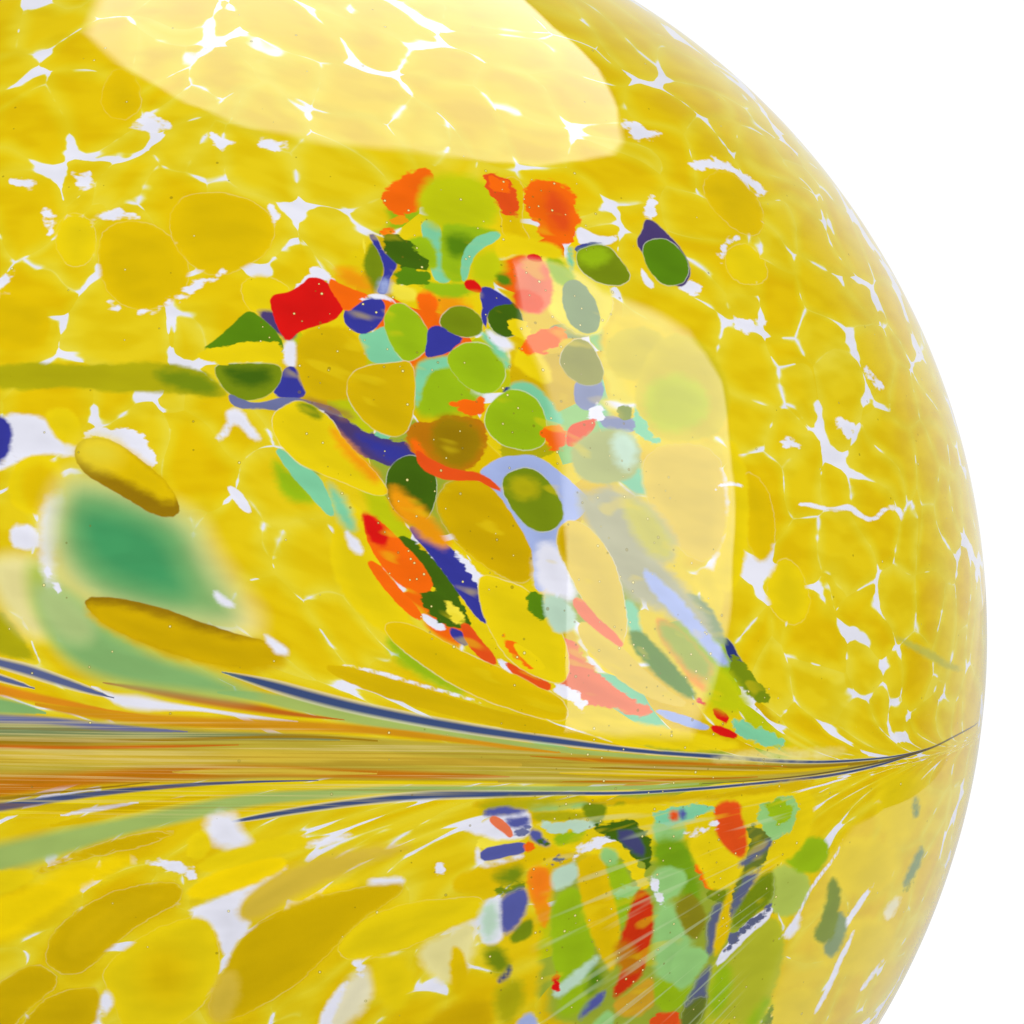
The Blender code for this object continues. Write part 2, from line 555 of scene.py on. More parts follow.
# %% Chips on the left
CHIPS_LEFT = [
    ("white", BLURRED, "-10,414 40,414 50,425 64,437 80,448 74,458 50,452 20,460 -10,478"),
    ("blue", BLURRED, "-14,412 4,415 12,428 12,444 4,462 -14,466"),
    ("yellow", BLURRED, "46,408 70,406 82,424 80,444 68,448 54,436 46,422"),
    ("yellow", BLURRED, "6,486 14,462 36,453 58,460 68,484 60,508 38,518 14,510"),
    ("gold", SOFT, "20,486 28,466 44,462 58,476 60,496 48,512 30,510"),
    ("white", BLURRED, "10,526 30,523 38,534 42,548 26,551 10,546"),
    ("white", TORN, "82,430 112,427 140,430 147,442 160,464 150,470 125,448 100,437 84,441"),
    ("white", SOFT, "44,500 64,490 68,524 52,560 60,600 46,590 38,540"),
    ("haze", MELTED,
     "60,480 96,478 150,500 196,520 210,552 236,590 262,626 232,640 170,622 100,606 62,584 46,540"),
    ("sea", MELTED,
     "70,484 100,484 150,506 190,524 202,556 228,594 236,622 196,622 140,608 90,594 62,560 58,520"),
    ("teal", MELTED, "80,506 110,506 150,520 172,540 182,568 190,594 170,600 130,590 98,574 80,552 74,528"),
    # Partly painted shade: this dark bronze chip under the gold one is the bean's deeper, thicker glass and
    # its shaded lower edge.
    ("bronze", CRISP,
     "73,452 80,440 96,436 113,440 131,452 150,467 168,483 179,502 180,516 160,518 138,506 114,491 94,481 "
     "79,468"),
    ("gold", SOFT,
     "75,448 84,438 98,436 115,440 133,452 152,467 170,483 178,498 168,504 146,492 120,478 98,470 80,462"),
    ("lemon", MELTED, "78,448 92,440 108,444 116,454 106,462 88,460"),
    ("haze", HAZY, "-14,560 20,552 50,566 70,596 56,632 34,640 14,622 -4,596"),
    ("pale_lime", HAZY, "24,560 52,566 78,596 110,626 150,646 120,664 84,660 52,640 30,606"),
    ("sea", HAZY,
     "36,592 62,592 84,604 98,624 132,644 172,660 204,668 222,677 250,690 262,698 236,700 190,694 140,688 "
     "104,680 74,666 52,644"),
    ("pale_fern", HAZY, "30,584 56,586 80,600 96,622 92,644 66,644 44,624"),
    ("khaki", BLURRED, "-12,600 10,618 24,640 38,662 20,660 -12,650"),
    ("white", CRISP, "41,560 50,568 58,582 65,598 56,592 47,580"),
    # Partly painted shade: this dark bronze chip under the honey one is the bean's deeper, thicker glass
    # and its shaded upper edge.
    ("bronze", CRISP,
     "82,601 92,596 112,597 137,601 172,611 207,624 240,635 272,642 276,664 246,668 212,664 175,655 "
     "140,642 110,628 92,615"),
    ("honey", SOFT,
     "84,606 100,602 130,608 165,618 200,629 236,638 278,640 292,652 280,670 250,673 212,667 172,657 "
     "138,644 108,630 90,618"),
    ("white", BLURRED, "262,632 276,640 292,654 284,658 270,648"),
    ("white", BLURRED, "211,588 226,596 238,607 228,609 216,600"),
    ("white", CRISP, "225,485 239,489 247,500 254,516 244,512 233,500"),
    ("white", BLURRED, "226,408 241,409 253,428 263,440 254,442 243,430 235,421 224,440 214,440 228,424"),
    ("green", SOFT, "284,448 304,452 322,470 316,478 298,466"),
    ("lime", SOFT, "270,456 290,470 308,486 318,502 300,504 280,494"),
    ("aqua", CRISP,
     "274,448 286,450 300,464 315,471 323,482 331,500 336,520 325,513 309,495 294,478 282,463"),
    ("khaki", BLURRED,
     "-12,366 40,362 90,366 140,361 186,366 206,373 223,386 228,396 210,398 170,392 120,393 70,386 30,391 "
     "-12,388"),
    ("olive", SOFT, "150,372 180,368 208,376 222,390 205,396 170,388"),
]

# %% Chips at the top of the streak
CHIPS_TOP = [
    ("orange", TORN, "398,178 417,168 436,173 432,190 424,206 406,216 388,211 379,199"),
    ("orange", TORN, "383,226 396,228 393,235 383,234"),
    ("amber", TORN, "388,218 404,217 408,224 390,226"),
    ("aqua", CRISP, "420,219 440,220 444,250 452,266 452,283 436,284 430,268 424,248"),
    ("lime", BLURRED, "404,240 424,234 438,250 438,270 424,270 410,254"),
    ("lime", BLURRED, "440,222 462,226 492,228 502,236 480,248 467,262 466,282 450,284 440,268"),
    ("green", SOFT, "444,232 470,236 478,246 464,258 448,256"),
    ("chartreuse", SOFT,
     "424,182 440,174 466,174 488,182 498,200 498,218 484,230 458,233 434,228 420,216 417,198"),
    ("brick", TORN, "479,173 500,172 515,186 520,200 518,220 506,214 494,203 488,190"),
    ("orange", TORN, "486,176 500,176 512,188 508,196 494,190"),
    ("orange", TORN,
     "530,180 552,177 566,188 584,199 572,199 576,210 584,221 575,229 574,243 560,245 544,240 531,231 "
     "541,226 525,213 521,195"),
    ("brick", SOFT, "548,190 562,196 572,214 568,232 554,226 546,208"),
    ("yellow", BLURRED, "500,232 530,238 560,246 566,258 545,258 520,254 500,262 494,246"),
    ("chartreuse", SOFT, "468,262 484,250 502,252 506,274 492,286 474,284"),
    ("aqua", CRISP, "482,233 502,231 499,240 479,250 471,262 467,282 461,282 461,256 469,243"),
    ("lime", BLURRED, "420,280 450,284 478,282 480,292 460,298 430,296"),
    ("olive", BLURRED, "368,246 376,241 382,254 385,270 380,286 373,294 367,280 363,262"),
    ("lemon", CRISP, "362,238 365,236 367,250 364,256"),
    ("forest", TORN, "380,240 392,234 403,238 418,249 430,262 426,271 405,269 388,262"),
    ("green", TORN, "391,270 412,269 430,272 432,281 418,287 400,287"),
    ("blue", INKED,
     "367,233 377,235 382,250 393,261 399,265 391,275 388,288 386,295 375,295 382,280 385,265 376,248"),
    ("lilac", SOFT, "380,282 388,278 390,292 378,295"),
    ("white", TORN, "312,268 320,264 331,275 336,284 328,282 310,278 302,288 294,293 300,283"),
    ("amber", SOFT, "334,268 352,268 368,279 373,293 355,290 338,281"),
    ("orange", CRISP, "328,276 340,284 355,290 372,295 358,304 346,314 338,300 330,290"),
    ("violet", BLURRED, "255,311 268,309 282,315 296,325 298,336 288,341 275,332 264,322"),
    ("red", CRISP,
     "310,276 327,280 331,291 344,301 343,312 333,322 299,331 289,342 281,336 269,304 271,295 290,292 "
     "303,284"),
    ("blue", CRISP, "343,312 352,303 368,297 381,297 386,306 383,320 374,331 361,335 351,330 344,322"),
    ("white", CRISP, "351,304 371,293 389,295 398,305 388,300 371,298"),
    ("aqua", CRISP, "357,333 372,333 385,324 390,338 398,352 406,362 386,366 370,362 361,348"),
    ("lemon", BLURRED, "390,284 404,284 418,290 416,302 400,300 390,294"),
    ("lime", RIMMED,
     "389,306 400,302 413,309 424,321 430,336 428,349 418,359 405,363 395,352 387,338 383,321"),
    ("orange", BLURRED, "416,291 432,291 440,300 435,318 428,329 418,312"),
    ("amber", SOFT, "434,296 450,293 462,298 474,306 460,316 440,320"),
    ("olive", RIMMED, "437,322 446,310 460,304 476,311 484,322 481,336 465,338 448,334"),
    ("blue", CRISP, "428,327 440,325 452,334 466,338 456,346 449,353 432,358 424,357 427,342"),
    ("red", CRISP, "463,281 472,278 481,285 483,293 474,293 465,288"),
    ("blue", CRISP, "478,287 490,287 505,296 515,304 500,304 490,309 486,320 487,332 481,318 482,303"),
    ("forest", RIMMED, "488,308 500,300 515,302 523,315 524,330 510,339 495,334 487,322"),
    ("yellow", TORN, "505,320 518,317 532,330 530,342 512,338"),
    ("green", BLURRED, "494,272 510,274 513,286 500,286"),
]

# %% Chips in the middle of the streak
CHIPS_MIDDLE = [
    ("green", CRISP,
     "251,310 262,318 276,330 284,345 283,354 262,356 240,354 214,355 200,350 215,340 232,325 240,316"),
    ("yellow", TORN, "196,350 230,345 256,341 284,343 284,363 256,360 225,365 200,362"),
    ("olive", RIMMED, "213,364 240,363 270,363 282,366 282,380 273,393 256,401 240,401 225,391 216,378"),
    ("forest", SOFT, "222,366 250,368 272,368 270,384 250,388 230,380"),
    ("white", BLURRED, "283,341 297,340 299,367 283,367"),
    ("blue", CRISP, "284,366 298,367 302,384 308,397 288,399 270,395 280,382"),
    ("slate", CRISP,
     "227,392 244,401 262,403 281,397 300,398 318,403 337,408 347,421 330,413 310,407 295,409 280,411 "
     "262,409 245,409 230,405"),
    ("violet", TORN,
     "318,406 337,411 354,424 374,436 397,441 417,446 426,452 427,467 410,469 388,467 368,460 350,450 "
     "336,436"),
    ("blue", SOFT, "350,430 374,440 400,446 416,456 400,464 376,456"),
    ("brown", SOFT, "298,397 325,402 345,412 356,420 340,417 318,407"),
    ("yellow", RIMMED,
     "273,413 290,402 302,400 320,409 334,421 342,438 354,450 374,470 392,494 376,497 340,481 300,466 "
     "280,446 271,428"),
    ("amber", SOFT, "330,424 345,440 362,456 382,477 374,484 352,462 336,444"),
    ("olive", BLURRED, "293,403 310,403 326,415 318,421 302,412"),
    ("lime", SOFT,
     "415,364 432,357 450,357 458,374 472,387 484,396 479,410 462,414 440,418 418,418 413,394"),
    ("aqua", BLURRED, "414,366 430,357 449,355 455,366 436,368 424,380 420,404 414,406"),
    ("lime", RIMMED, "450,350 465,342 485,342 501,355 507,372 501,388 485,396 468,389 453,373 446,360"),
    ("aqua", BLURRED, "478,330 494,338 508,350 510,374 502,360 488,344"),
    ("white", BLURRED, "485,327 498,337 517,344 509,353 499,349 489,339"),
    ("yellow", BLURRED, "516,350 530,344 546,358 554,382 542,384 526,374 512,364"),
    ("ochre", BLURRED,
     "300,335 313,328 335,325 352,330 363,343 368,362 367,386 352,399 330,402 307,395 297,373 295,350"),
    ("ochre", RIMMED,
     "350,372 370,364 395,362 413,360 416,385 414,412 409,431 395,439 374,431 355,412 345,392"),
    ("aqua", BLURRED, "505,388 526,378 545,394 561,414 564,426 548,424 530,402"),
    ("copper", TORN,
     "404,430 414,420 434,421 452,417 470,414 484,424 488,440 482,456 470,468 448,480 426,466 410,450"),
    ("orange", BLURRED, "408,440 416,436 424,452 438,466 456,474 440,474 422,464"),
    ("umber", SOFT, "432,420 452,414 474,422 486,444 470,466 446,468 430,446"),
    ("orange", TORN, "444,405 470,399 486,397 486,412 478,419 460,412"),
    ("lime", RIMMED, "488,406 500,393 518,388 536,397 546,415 548,441 535,451 510,449 492,439 483,421"),
    ("khaki", TORN, "500,444 530,438 556,446 552,458 520,462 500,456"),
    ("navy", CRISP, "504,386 514,388 501,397"),
    ("lilac", CRISP,
     "477,472 495,459 520,454 541,457 558,470 578,488 592,502 582,516 572,522 562,536 556,560 546,592 "
     "534,592 534,560 528,540 503,500 489,485"),
    ("white", SOFT, "538,540 560,545 572,575 578,602 560,600 538,590 534,566"),
    ("brick", CRISP,
     "414,447 432,460 455,470 478,472 493,481 507,494 495,490 478,480 455,481 436,478 418,466"),
    ("forest", RIMMED, "387,470 400,457 415,454 431,464 438,482 436,501 428,521 411,523 394,511 385,490"),
    ("amber", SOFT, "388,482 404,492 424,508 444,532 452,548 436,548 408,526 391,508"),
    ("olive", RIMMED,
     "502,478 515,468 532,467 549,480 561,500 565,516 556,529 540,534 524,525 511,508 502,492"),
    ("khaki", SOFT, "508,482 524,474 540,484 536,498 516,500"),
    ("honey", LINED,
     "436,495 449,480 472,477 493,485 511,503 527,525 537,550 536,573 525,584 504,579 479,563 454,541 "
     "437,515"),
]

# %% Chips that the right softbox shines on
CHIPS_SHINED = [
    ("coral", BLURRED, "515,262 530,255 546,262 553,280 554,300 541,316 525,312 516,295"),
    ("lime", BLURRED, "545,254 560,258 573,272 576,286 560,286 548,275"),
    ("red", CRISP, "525,255 538,253 545,262 530,262"),
    ("brick", BLURRED, "514,290 530,288 546,300 542,313 524,313 513,302"),
    ("sage", CRISP, "562,283 578,278 593,295 601,315 599,331 585,335 570,325 562,305"),
    ("sage", CRISP, "548,326 570,322 592,330 590,338 566,338 550,336"),
    ("orange", TORN, "519,346 535,332 553,326 570,330 560,345 540,354 525,354"),
    ("brass", BLURRED, "606,340 622,330 645,325 663,335 669,350 661,369 640,381 618,379 606,362"),
    ("brass", BLURRED,
     "634,402 640,372 654,344 674,332 700,340 720,364 731,398 726,426 704,441 668,442 642,430"),
    ("chartreuse", SOFT, "642,402 650,382 676,372 702,384 712,404 700,426 668,434 648,422"),
    ("aqua", TORN, "632,404 640,412 650,434 664,444 648,444 634,430"),
    ("dusk", CRISP, "574,378 602,378 605,392 597,406 588,412 574,406"),
    ("moss", RIMMED, "566,345 578,337 591,342 598,355 605,372 601,385 585,386 570,379 559,365 561,352"),
    ("white", TORN, "590,404 600,402 606,414 596,424 586,422"),
    ("dusk", CRISP, "597,418 612,415 625,420 638,417 637,431 620,433 604,428"),
    ("olive", TORN, "613,406 632,404 635,416 622,420"),
    ("brick", CRISP, "567,426 585,420 599,417 593,431 579,446 565,448"),
    ("orange", TORN, "538,428 560,424 568,432 566,450 548,450"),
    ("lichen", BLURRED, "571,446 590,431 620,427 639,440 641,461 632,479 605,486 582,481 571,466"),
    ("pale_aqua", SOFT, "612,432 634,434 638,458 624,474 612,452"),
    ("stone", SOFT,
     "576,488 600,500 640,540 676,578 700,606 718,640 700,640 668,612 640,604 622,590 600,548 580,512"),
    ("stone", SOFT, "588,494 606,486 630,490 652,508 672,530 678,556 662,566 640,556 616,549 598,525"),
    ("hay", SOFT, "618,496 640,500 660,520 674,542 672,562 650,556 634,536"),
    ("lilac", BLURRED, "640,566 660,578 684,602 708,632 724,652 731,669 718,663 698,641 678,618 654,596"),
    ("aqua", BLURRED, "621,602 632,599 639,612 641,630 647,652 636,641 627,625"),
    ("green", BLURRED, "627,632 640,629 656,645 673,662 691,685 698,699 682,696 662,681 644,662 632,648"),
    ("amber", BLURRED, "654,615 675,624 696,645 713,665 719,681 706,696 690,681 672,656 658,636"),
    ("pear", SOFT, "652,622 676,622 700,646 716,670 704,684 676,660"),
    ("sage", BLURRED, "684,591 699,595 713,610 723,630 730,647 715,641 699,622 689,606"),
    ("chartreuse", SOFT, "714,664 729,672 742,690 754,708 732,714 710,707 704,690"),
    ("navy", INKED, "722,636 730,639 738,655 748,669 738,670 728,658"),
    ("olive", TORN, "733,652 748,666 762,685 775,702 765,706 747,696 734,680 727,668"),
    ("straw", RIMMED,
     "556,535 562,523 575,519 593,530 609,550 619,575 625,600 628,625 622,649 611,641 597,621 579,595 "
     "565,565 557,548"),
    ("honey", BLURRED, "556,536 563,524 568,530 567,548 568,566 562,556"),
    ("coral", CRISP, "571,599 580,596 591,610 603,622 619,636 625,647 617,646 600,633 584,620 575,610"),
    ("straw", CRISP,
     "576,624 591,621 606,632 626,650 646,672 668,690 694,707 670,706 644,696 619,680 597,660 581,642"),
    ("coral", TORN,
     "550,640 563,634 577,645 592,668 613,685 636,700 656,713 640,718 614,709 590,707 570,696 558,686 "
     "556,664"),
    ("lilac", CRISP, "651,708 670,711 690,717 711,727 706,731 685,726 664,718"),
    ("aqua", TORN, "727,717 745,723 765,731 785,740 780,747 762,745 745,739 736,732"),
    ("red", CRISP, "711,709 718,707 730,716 728,724 718,720"),
    ("red", CRISP, "711,725 722,726 740,735 736,740 722,736 711,732"),
    ("red", TORN, "698,698 706,700 706,707 699,705"),
]

# %% Chips just above the crease
CHIPS_ABOVE = [
    ("yellow", BLURRED, "556,716 600,718 650,724 700,734 750,744 720,751 690,752 640,746 590,738"),
    ("yellow", BLURRED, "340,500 362,506 378,560 400,600 420,640 392,640 352,610 326,560"),
    ("aqua", SOFT, "326,478 346,500 358,530 348,532 332,510"),
    ("white", BLURRED, "344,528 354,536 366,552 360,556 348,546"),
    ("orange", CRISP, "362,512 380,520 400,540 420,560 436,586 426,594 406,590 388,575 376,558 366,540"),
    ("red", BLURRED, "360,510 378,518 390,536 386,548 372,544 364,528"),
    ("forest", TORN, "398,532 420,545 442,566 457,590 468,616 460,620 444,602 427,582 411,564 401,550"),
    ("blue", CRISP,
     "407,523 425,531 449,545 466,562 479,585 489,605 493,621 483,625 471,611 457,591 444,573 427,551 "
     "411,533"),
    ("white", TORN, "450,546 466,556 482,576 496,606 500,630 490,626 487,606 477,584 462,562"),
    ("forest", TORN, "419,592 435,587 452,598 463,611 473,627 455,629 437,621 424,608"),
    ("lemon", TORN, "444,599 456,604 467,621 455,624 446,612"),
    ("orange", CRISP, "365,560 376,561 389,575 401,590 416,605 425,620 417,621 404,610 389,595 374,575"),
    ("white", CRISP, "418,612 432,617 450,628 440,632 427,625"),
    ("blue", CRISP, "446,627 460,629 472,641 466,648 454,640"),
    ("brick", CRISP, "459,622 470,624 481,640 500,661 492,667 477,656 465,642"),
    ("yellow", RIMMED, "478,574 500,578 530,590 552,612 570,650 568,686 540,680 506,660 486,624 478,598"),
    ("green", TORN, "526,588 540,590 551,612 540,622 528,610"),
    ("pale_aqua", BLURRED, "541,594 560,596 577,612 574,632 556,634 545,616"),
    ("orange", TORN, "500,634 514,642 530,656 536,668 522,664 506,650"),
    ("yellow", CRISP, "510,640 530,650 548,668 540,672 522,660"),
    ("white", CRISP, "494,655 508,663 524,672 516,678 503,670"),
    ("brick", CRISP, "502,659 518,667 535,675 553,684 550,692 531,686 513,676"),
    ("white", TORN, "552,681 570,687 591,703 580,708 565,699 554,692"),
    ("lime", SOFT, "386,634 410,650 440,676 470,694 450,692 412,672 388,652"),
    ("gold", RIMMED,
     "381,625 396,621 421,628 451,645 481,660 511,672 541,688 566,700 570,722 541,719 509,709 479,698 "
     "449,683 419,663 396,646"),
    ("ochre", CRISP,
     "322,664 360,668 400,682 440,694 480,706 520,716 560,725 580,734 540,735 500,728 450,716 400,702 "
     "360,688 332,675"),
    ("white", CRISP, "330,662 370,668 420,683 480,701 484,704 420,687 370,672"),
]

# %% Leaf-shaped chips below the crease, on the left
CHIPS_LEAVES = [
    ("sun", SOFT, "-12,902 18,893 61,872 122,854 135,860 92,884 46,915 18,933 -12,948"),
    ("yellow", BLURRED, "-12,872 20,868 38,874 20,888 -12,898"),
    ("white", GAP, "142,861 171,860 191,868 197,878 184,875 165,867 148,865"),
    ("white", BLURRED,
     "184,912 211,901 239,889 269,872 294,864 263,884 242,902 240,918 254,921 239,940 226,962 219,940 "
     "211,921 196,915"),
    # This soft white chip is a painted reflection: a pale glow on the casing between the bands.
    ("white", SOFT, "205,818 222,812 238,814 240,830 254,841 238,851 218,846 208,838"),
    ("white", BLURRED, "300,846 337,834 357,834 337,843 318,848"),
    ("white", BLURRED, "364,880 402,876 406,883 392,888 371,887"),
    ("milk", SOFT, "322,1026 334,1000 347,980 368,964 376,986 368,1004 352,1020 340,1034"),
    ("white", BLURRED, "316,1030 326,1004 340,986 350,978 344,994 334,1014 328,1034"),
    ("white", GAP, "352,959 365,959 364,977 357,977"),
    ("white", GAP, "435,864 443,865 445,876 438,877"),
    ("white", BLURRED, "100,990 119,990 116,1002 104,1014 102,1034 94,1034"),
    ("haze", SOFT, "416,948 448,932 474,916 478,950 452,988 424,970"),
    ("old_gold", LINED, "32,872 61,857 107,841 147,832 181,830 165,838 144,847 101,855 67,864 40,875"),
    ("sun", BLURRED, "184,894 197,881 220,869 254,860 282,855 288,866 275,876 245,888 214,897 190,900"),
    ("yellow", BLURRED, "188,836 206,828 212,846 202,862 186,858"),
    ("yellow", BLURRED, "196,862 230,850 274,838 306,832 308,846 270,856 230,868 200,874"),
    ("tan", SOFT,
     "237,916 242,902 260,884 294,866 331,853 367,847 410,842 407,850 367,863 334,879 300,894 266,916 "
     "246,922"),
    ("sun", SOFT, "262,920 300,898 334,884 362,882 340,894 300,910 272,928"),
    ("yellow", LINED,
     "102,976 107,964 132,942 159,927 190,917 208,918 215,933 220,952 219,976 208,1001 184,1020 165,1034 "
     "122,1034 115,1004 106,986"),
    ("gold", MELTED, "140,960 164,946 184,956 188,984 172,1002 146,996"),
    ("old_gold", LINED,
     "46,952 50,936 70,915 101,896 138,884 178,882 184,890 179,903 153,916 122,937 98,961 77,976 57,973 "
     "46,964"),
    ("ochre", SOFT, "60,950 80,924 116,900 156,892 168,900 130,916 100,942 76,960"),
    ("old_gold", LINED,
     "208,1006 214,988 224,970 233,951 245,933 269,915 306,899 346,890 398,881 406,887 392,900 361,919 "
     "331,951 300,982 263,1006 227,1022 211,1019"),
    ("tan", SOFT, "206,1012 212,988 226,968 240,978 238,1004 222,1026"),
    ("yellow", LINED,
     "337,948 346,932 367,917 398,905 444,898 486,896 482,918 450,928 413,946 383,958 352,960 338,955"),
    ("yellow", SOFT, "368,962 396,956 414,968 412,996 396,1014 376,1000"),
    ("gold", BLURRED, "450,946 462,948 470,974 460,1000 450,984"),
    ("old_gold", LINED, "-12,992 16,970 40,963 56,973 58,984 46,995 27,1010 12,1030 -12,1034"),
    ("old_gold", LINED, "22,1024 40,1003 61,991 89,986 101,991 99,1008 94,1034 20,1034"),
    ("honey", SOFT, "420,1026 446,1006 480,996 496,1010 488,1034 420,1034"),
]

# %% Chips of the streak below the crease, on the left
CHIPS_BELOW = [
    ("ochre", BLURRED,
     "470,800 560,798 640,797 700,793 770,784 820,777 806,790 764,798 700,804 640,807 560,808 476,810"),
    ("pear", SOFT, "548,876 600,850 660,812 724,812 744,850 736,900 770,930 756,1034 540,1034 556,960"),
    ("yellow", BLURRED, "536,808 700,802 800,788 820,800 800,860 740,870 640,860 560,852 540,836"),
    ("gold", BLURRED, "452,874 514,858 545,850 574,847 552,861 524,870 522,880 492,889 452,894"),
    ("olive", SOFT, "490,874 524,862 524,880 504,886"),
    ("mint", BLURRED, "526,803 556,802 592,802 588,811 560,812 530,812"),
    ("khaki", BLURRED, "530,812 560,811 588,812 584,821 556,822 534,823"),
    ("pale_aqua", TORN, "531,823 556,821 588,819 606,822 584,831 552,835"),
    ("lime", BLURRED, "550,835 574,830 590,830 580,841 556,847"),
    ("khaki", SOFT, "480,800 530,798 580,796 584,802 530,810 482,816"),
    ("white", BLURRED, "458,827 478,825 490,816 510,813 530,808 532,836 508,841 480,836"),
    ("indigo", BLURRED, "482,810 502,807 524,808 528,812 512,817 498,815 486,818"),
    ("indigo", BLURRED, "503,819 516,817 530,816 531,823 520,828 510,828"),
    ("slate", TORN, "512,831 524,827 532,826 530,833 518,836"),
    ("coral", CRISP, "488,817 496,815 509,825 514,834 511,839 501,831 491,825"),
    ("lemon", TORN, "474,838 500,833 524,836 522,843 500,846 480,849"),
    ("indigo", BLURRED, "529,828 541,830 553,838 551,845 543,848 535,841 528,836"),
    ("forest", TORN, "536,840 551,841 549,847 540,848"),
    ("white", BLURRED, "474,850 480,848 482,864 505,859 524,854 522,858 500,864 478,869"),
    ("indigo", CRISP, "479,850 505,844 526,841 528,852 504,857 481,863"),
    ("orange", TORN, "521,846 530,841 537,848 528,853"),
    ("white", BLURRED, "478,906 498,894 504,900 505,936 494,946 480,942"),
    ("pale_aqua", SOFT, "481,906 497,900 499,928 490,942 481,936"),
    ("olive", TORN, "492,892 512,884 527,880 526,888 508,893 496,898"),
    ("indigo", LINED, "500,897 514,891 526,886 529,902 525,913 519,924 511,932 503,935 501,925"),
    ("olive", BLURRED, "512,934 526,918 534,920 534,934 522,942 508,944"),
    ("olive", SOFT, "484,948 502,945 511,965 499,977 485,960"),
    ("navy", BLURRED, "497,980 511,962 513,974 499,984"),
    ("khaki", SOFT, "496,988 522,976 525,1004 505,1028 493,1006"),
    ("lilac", BLURRED, "510,1028 533,1008 541,1030"),
    ("amber", BLURRED, "527,866 549,866 550,891 547,901 551,909 547,928 541,927 534,905 528,894"),
    ("orange_peel", SOFT, "529,868 550,867 550,896 540,908 530,894"),
    ("lime", BLURRED, "551,898 577,884 588,902 596,930 594,964 586,990 562,994 552,960"),
    ("pale_aqua", BLURRED, "549,872 566,865 577,863 578,881 552,893"),
    ("navy", TORN, "548,863 567,854 568,859 551,868"),
    ("gold", BLURRED,
     "577,860 592,854 604,857 612,878 619,900 621,928 618,954 613,976 600,956 590,934 583,906 576,880"),
    ("lime", BLURRED, "604,864 622,857 635,889 632,914 622,932 616,905 609,880"),
    ("mint", BLURRED, "598,850 614,846 621,862 605,868"),
    ("mint", TORN, "614,890 632,884 640,888 634,896 617,901"),
    ("white", TORN, "572,853 584,844 600,838 619,832 618,841 600,847 586,852 574,857"),
]

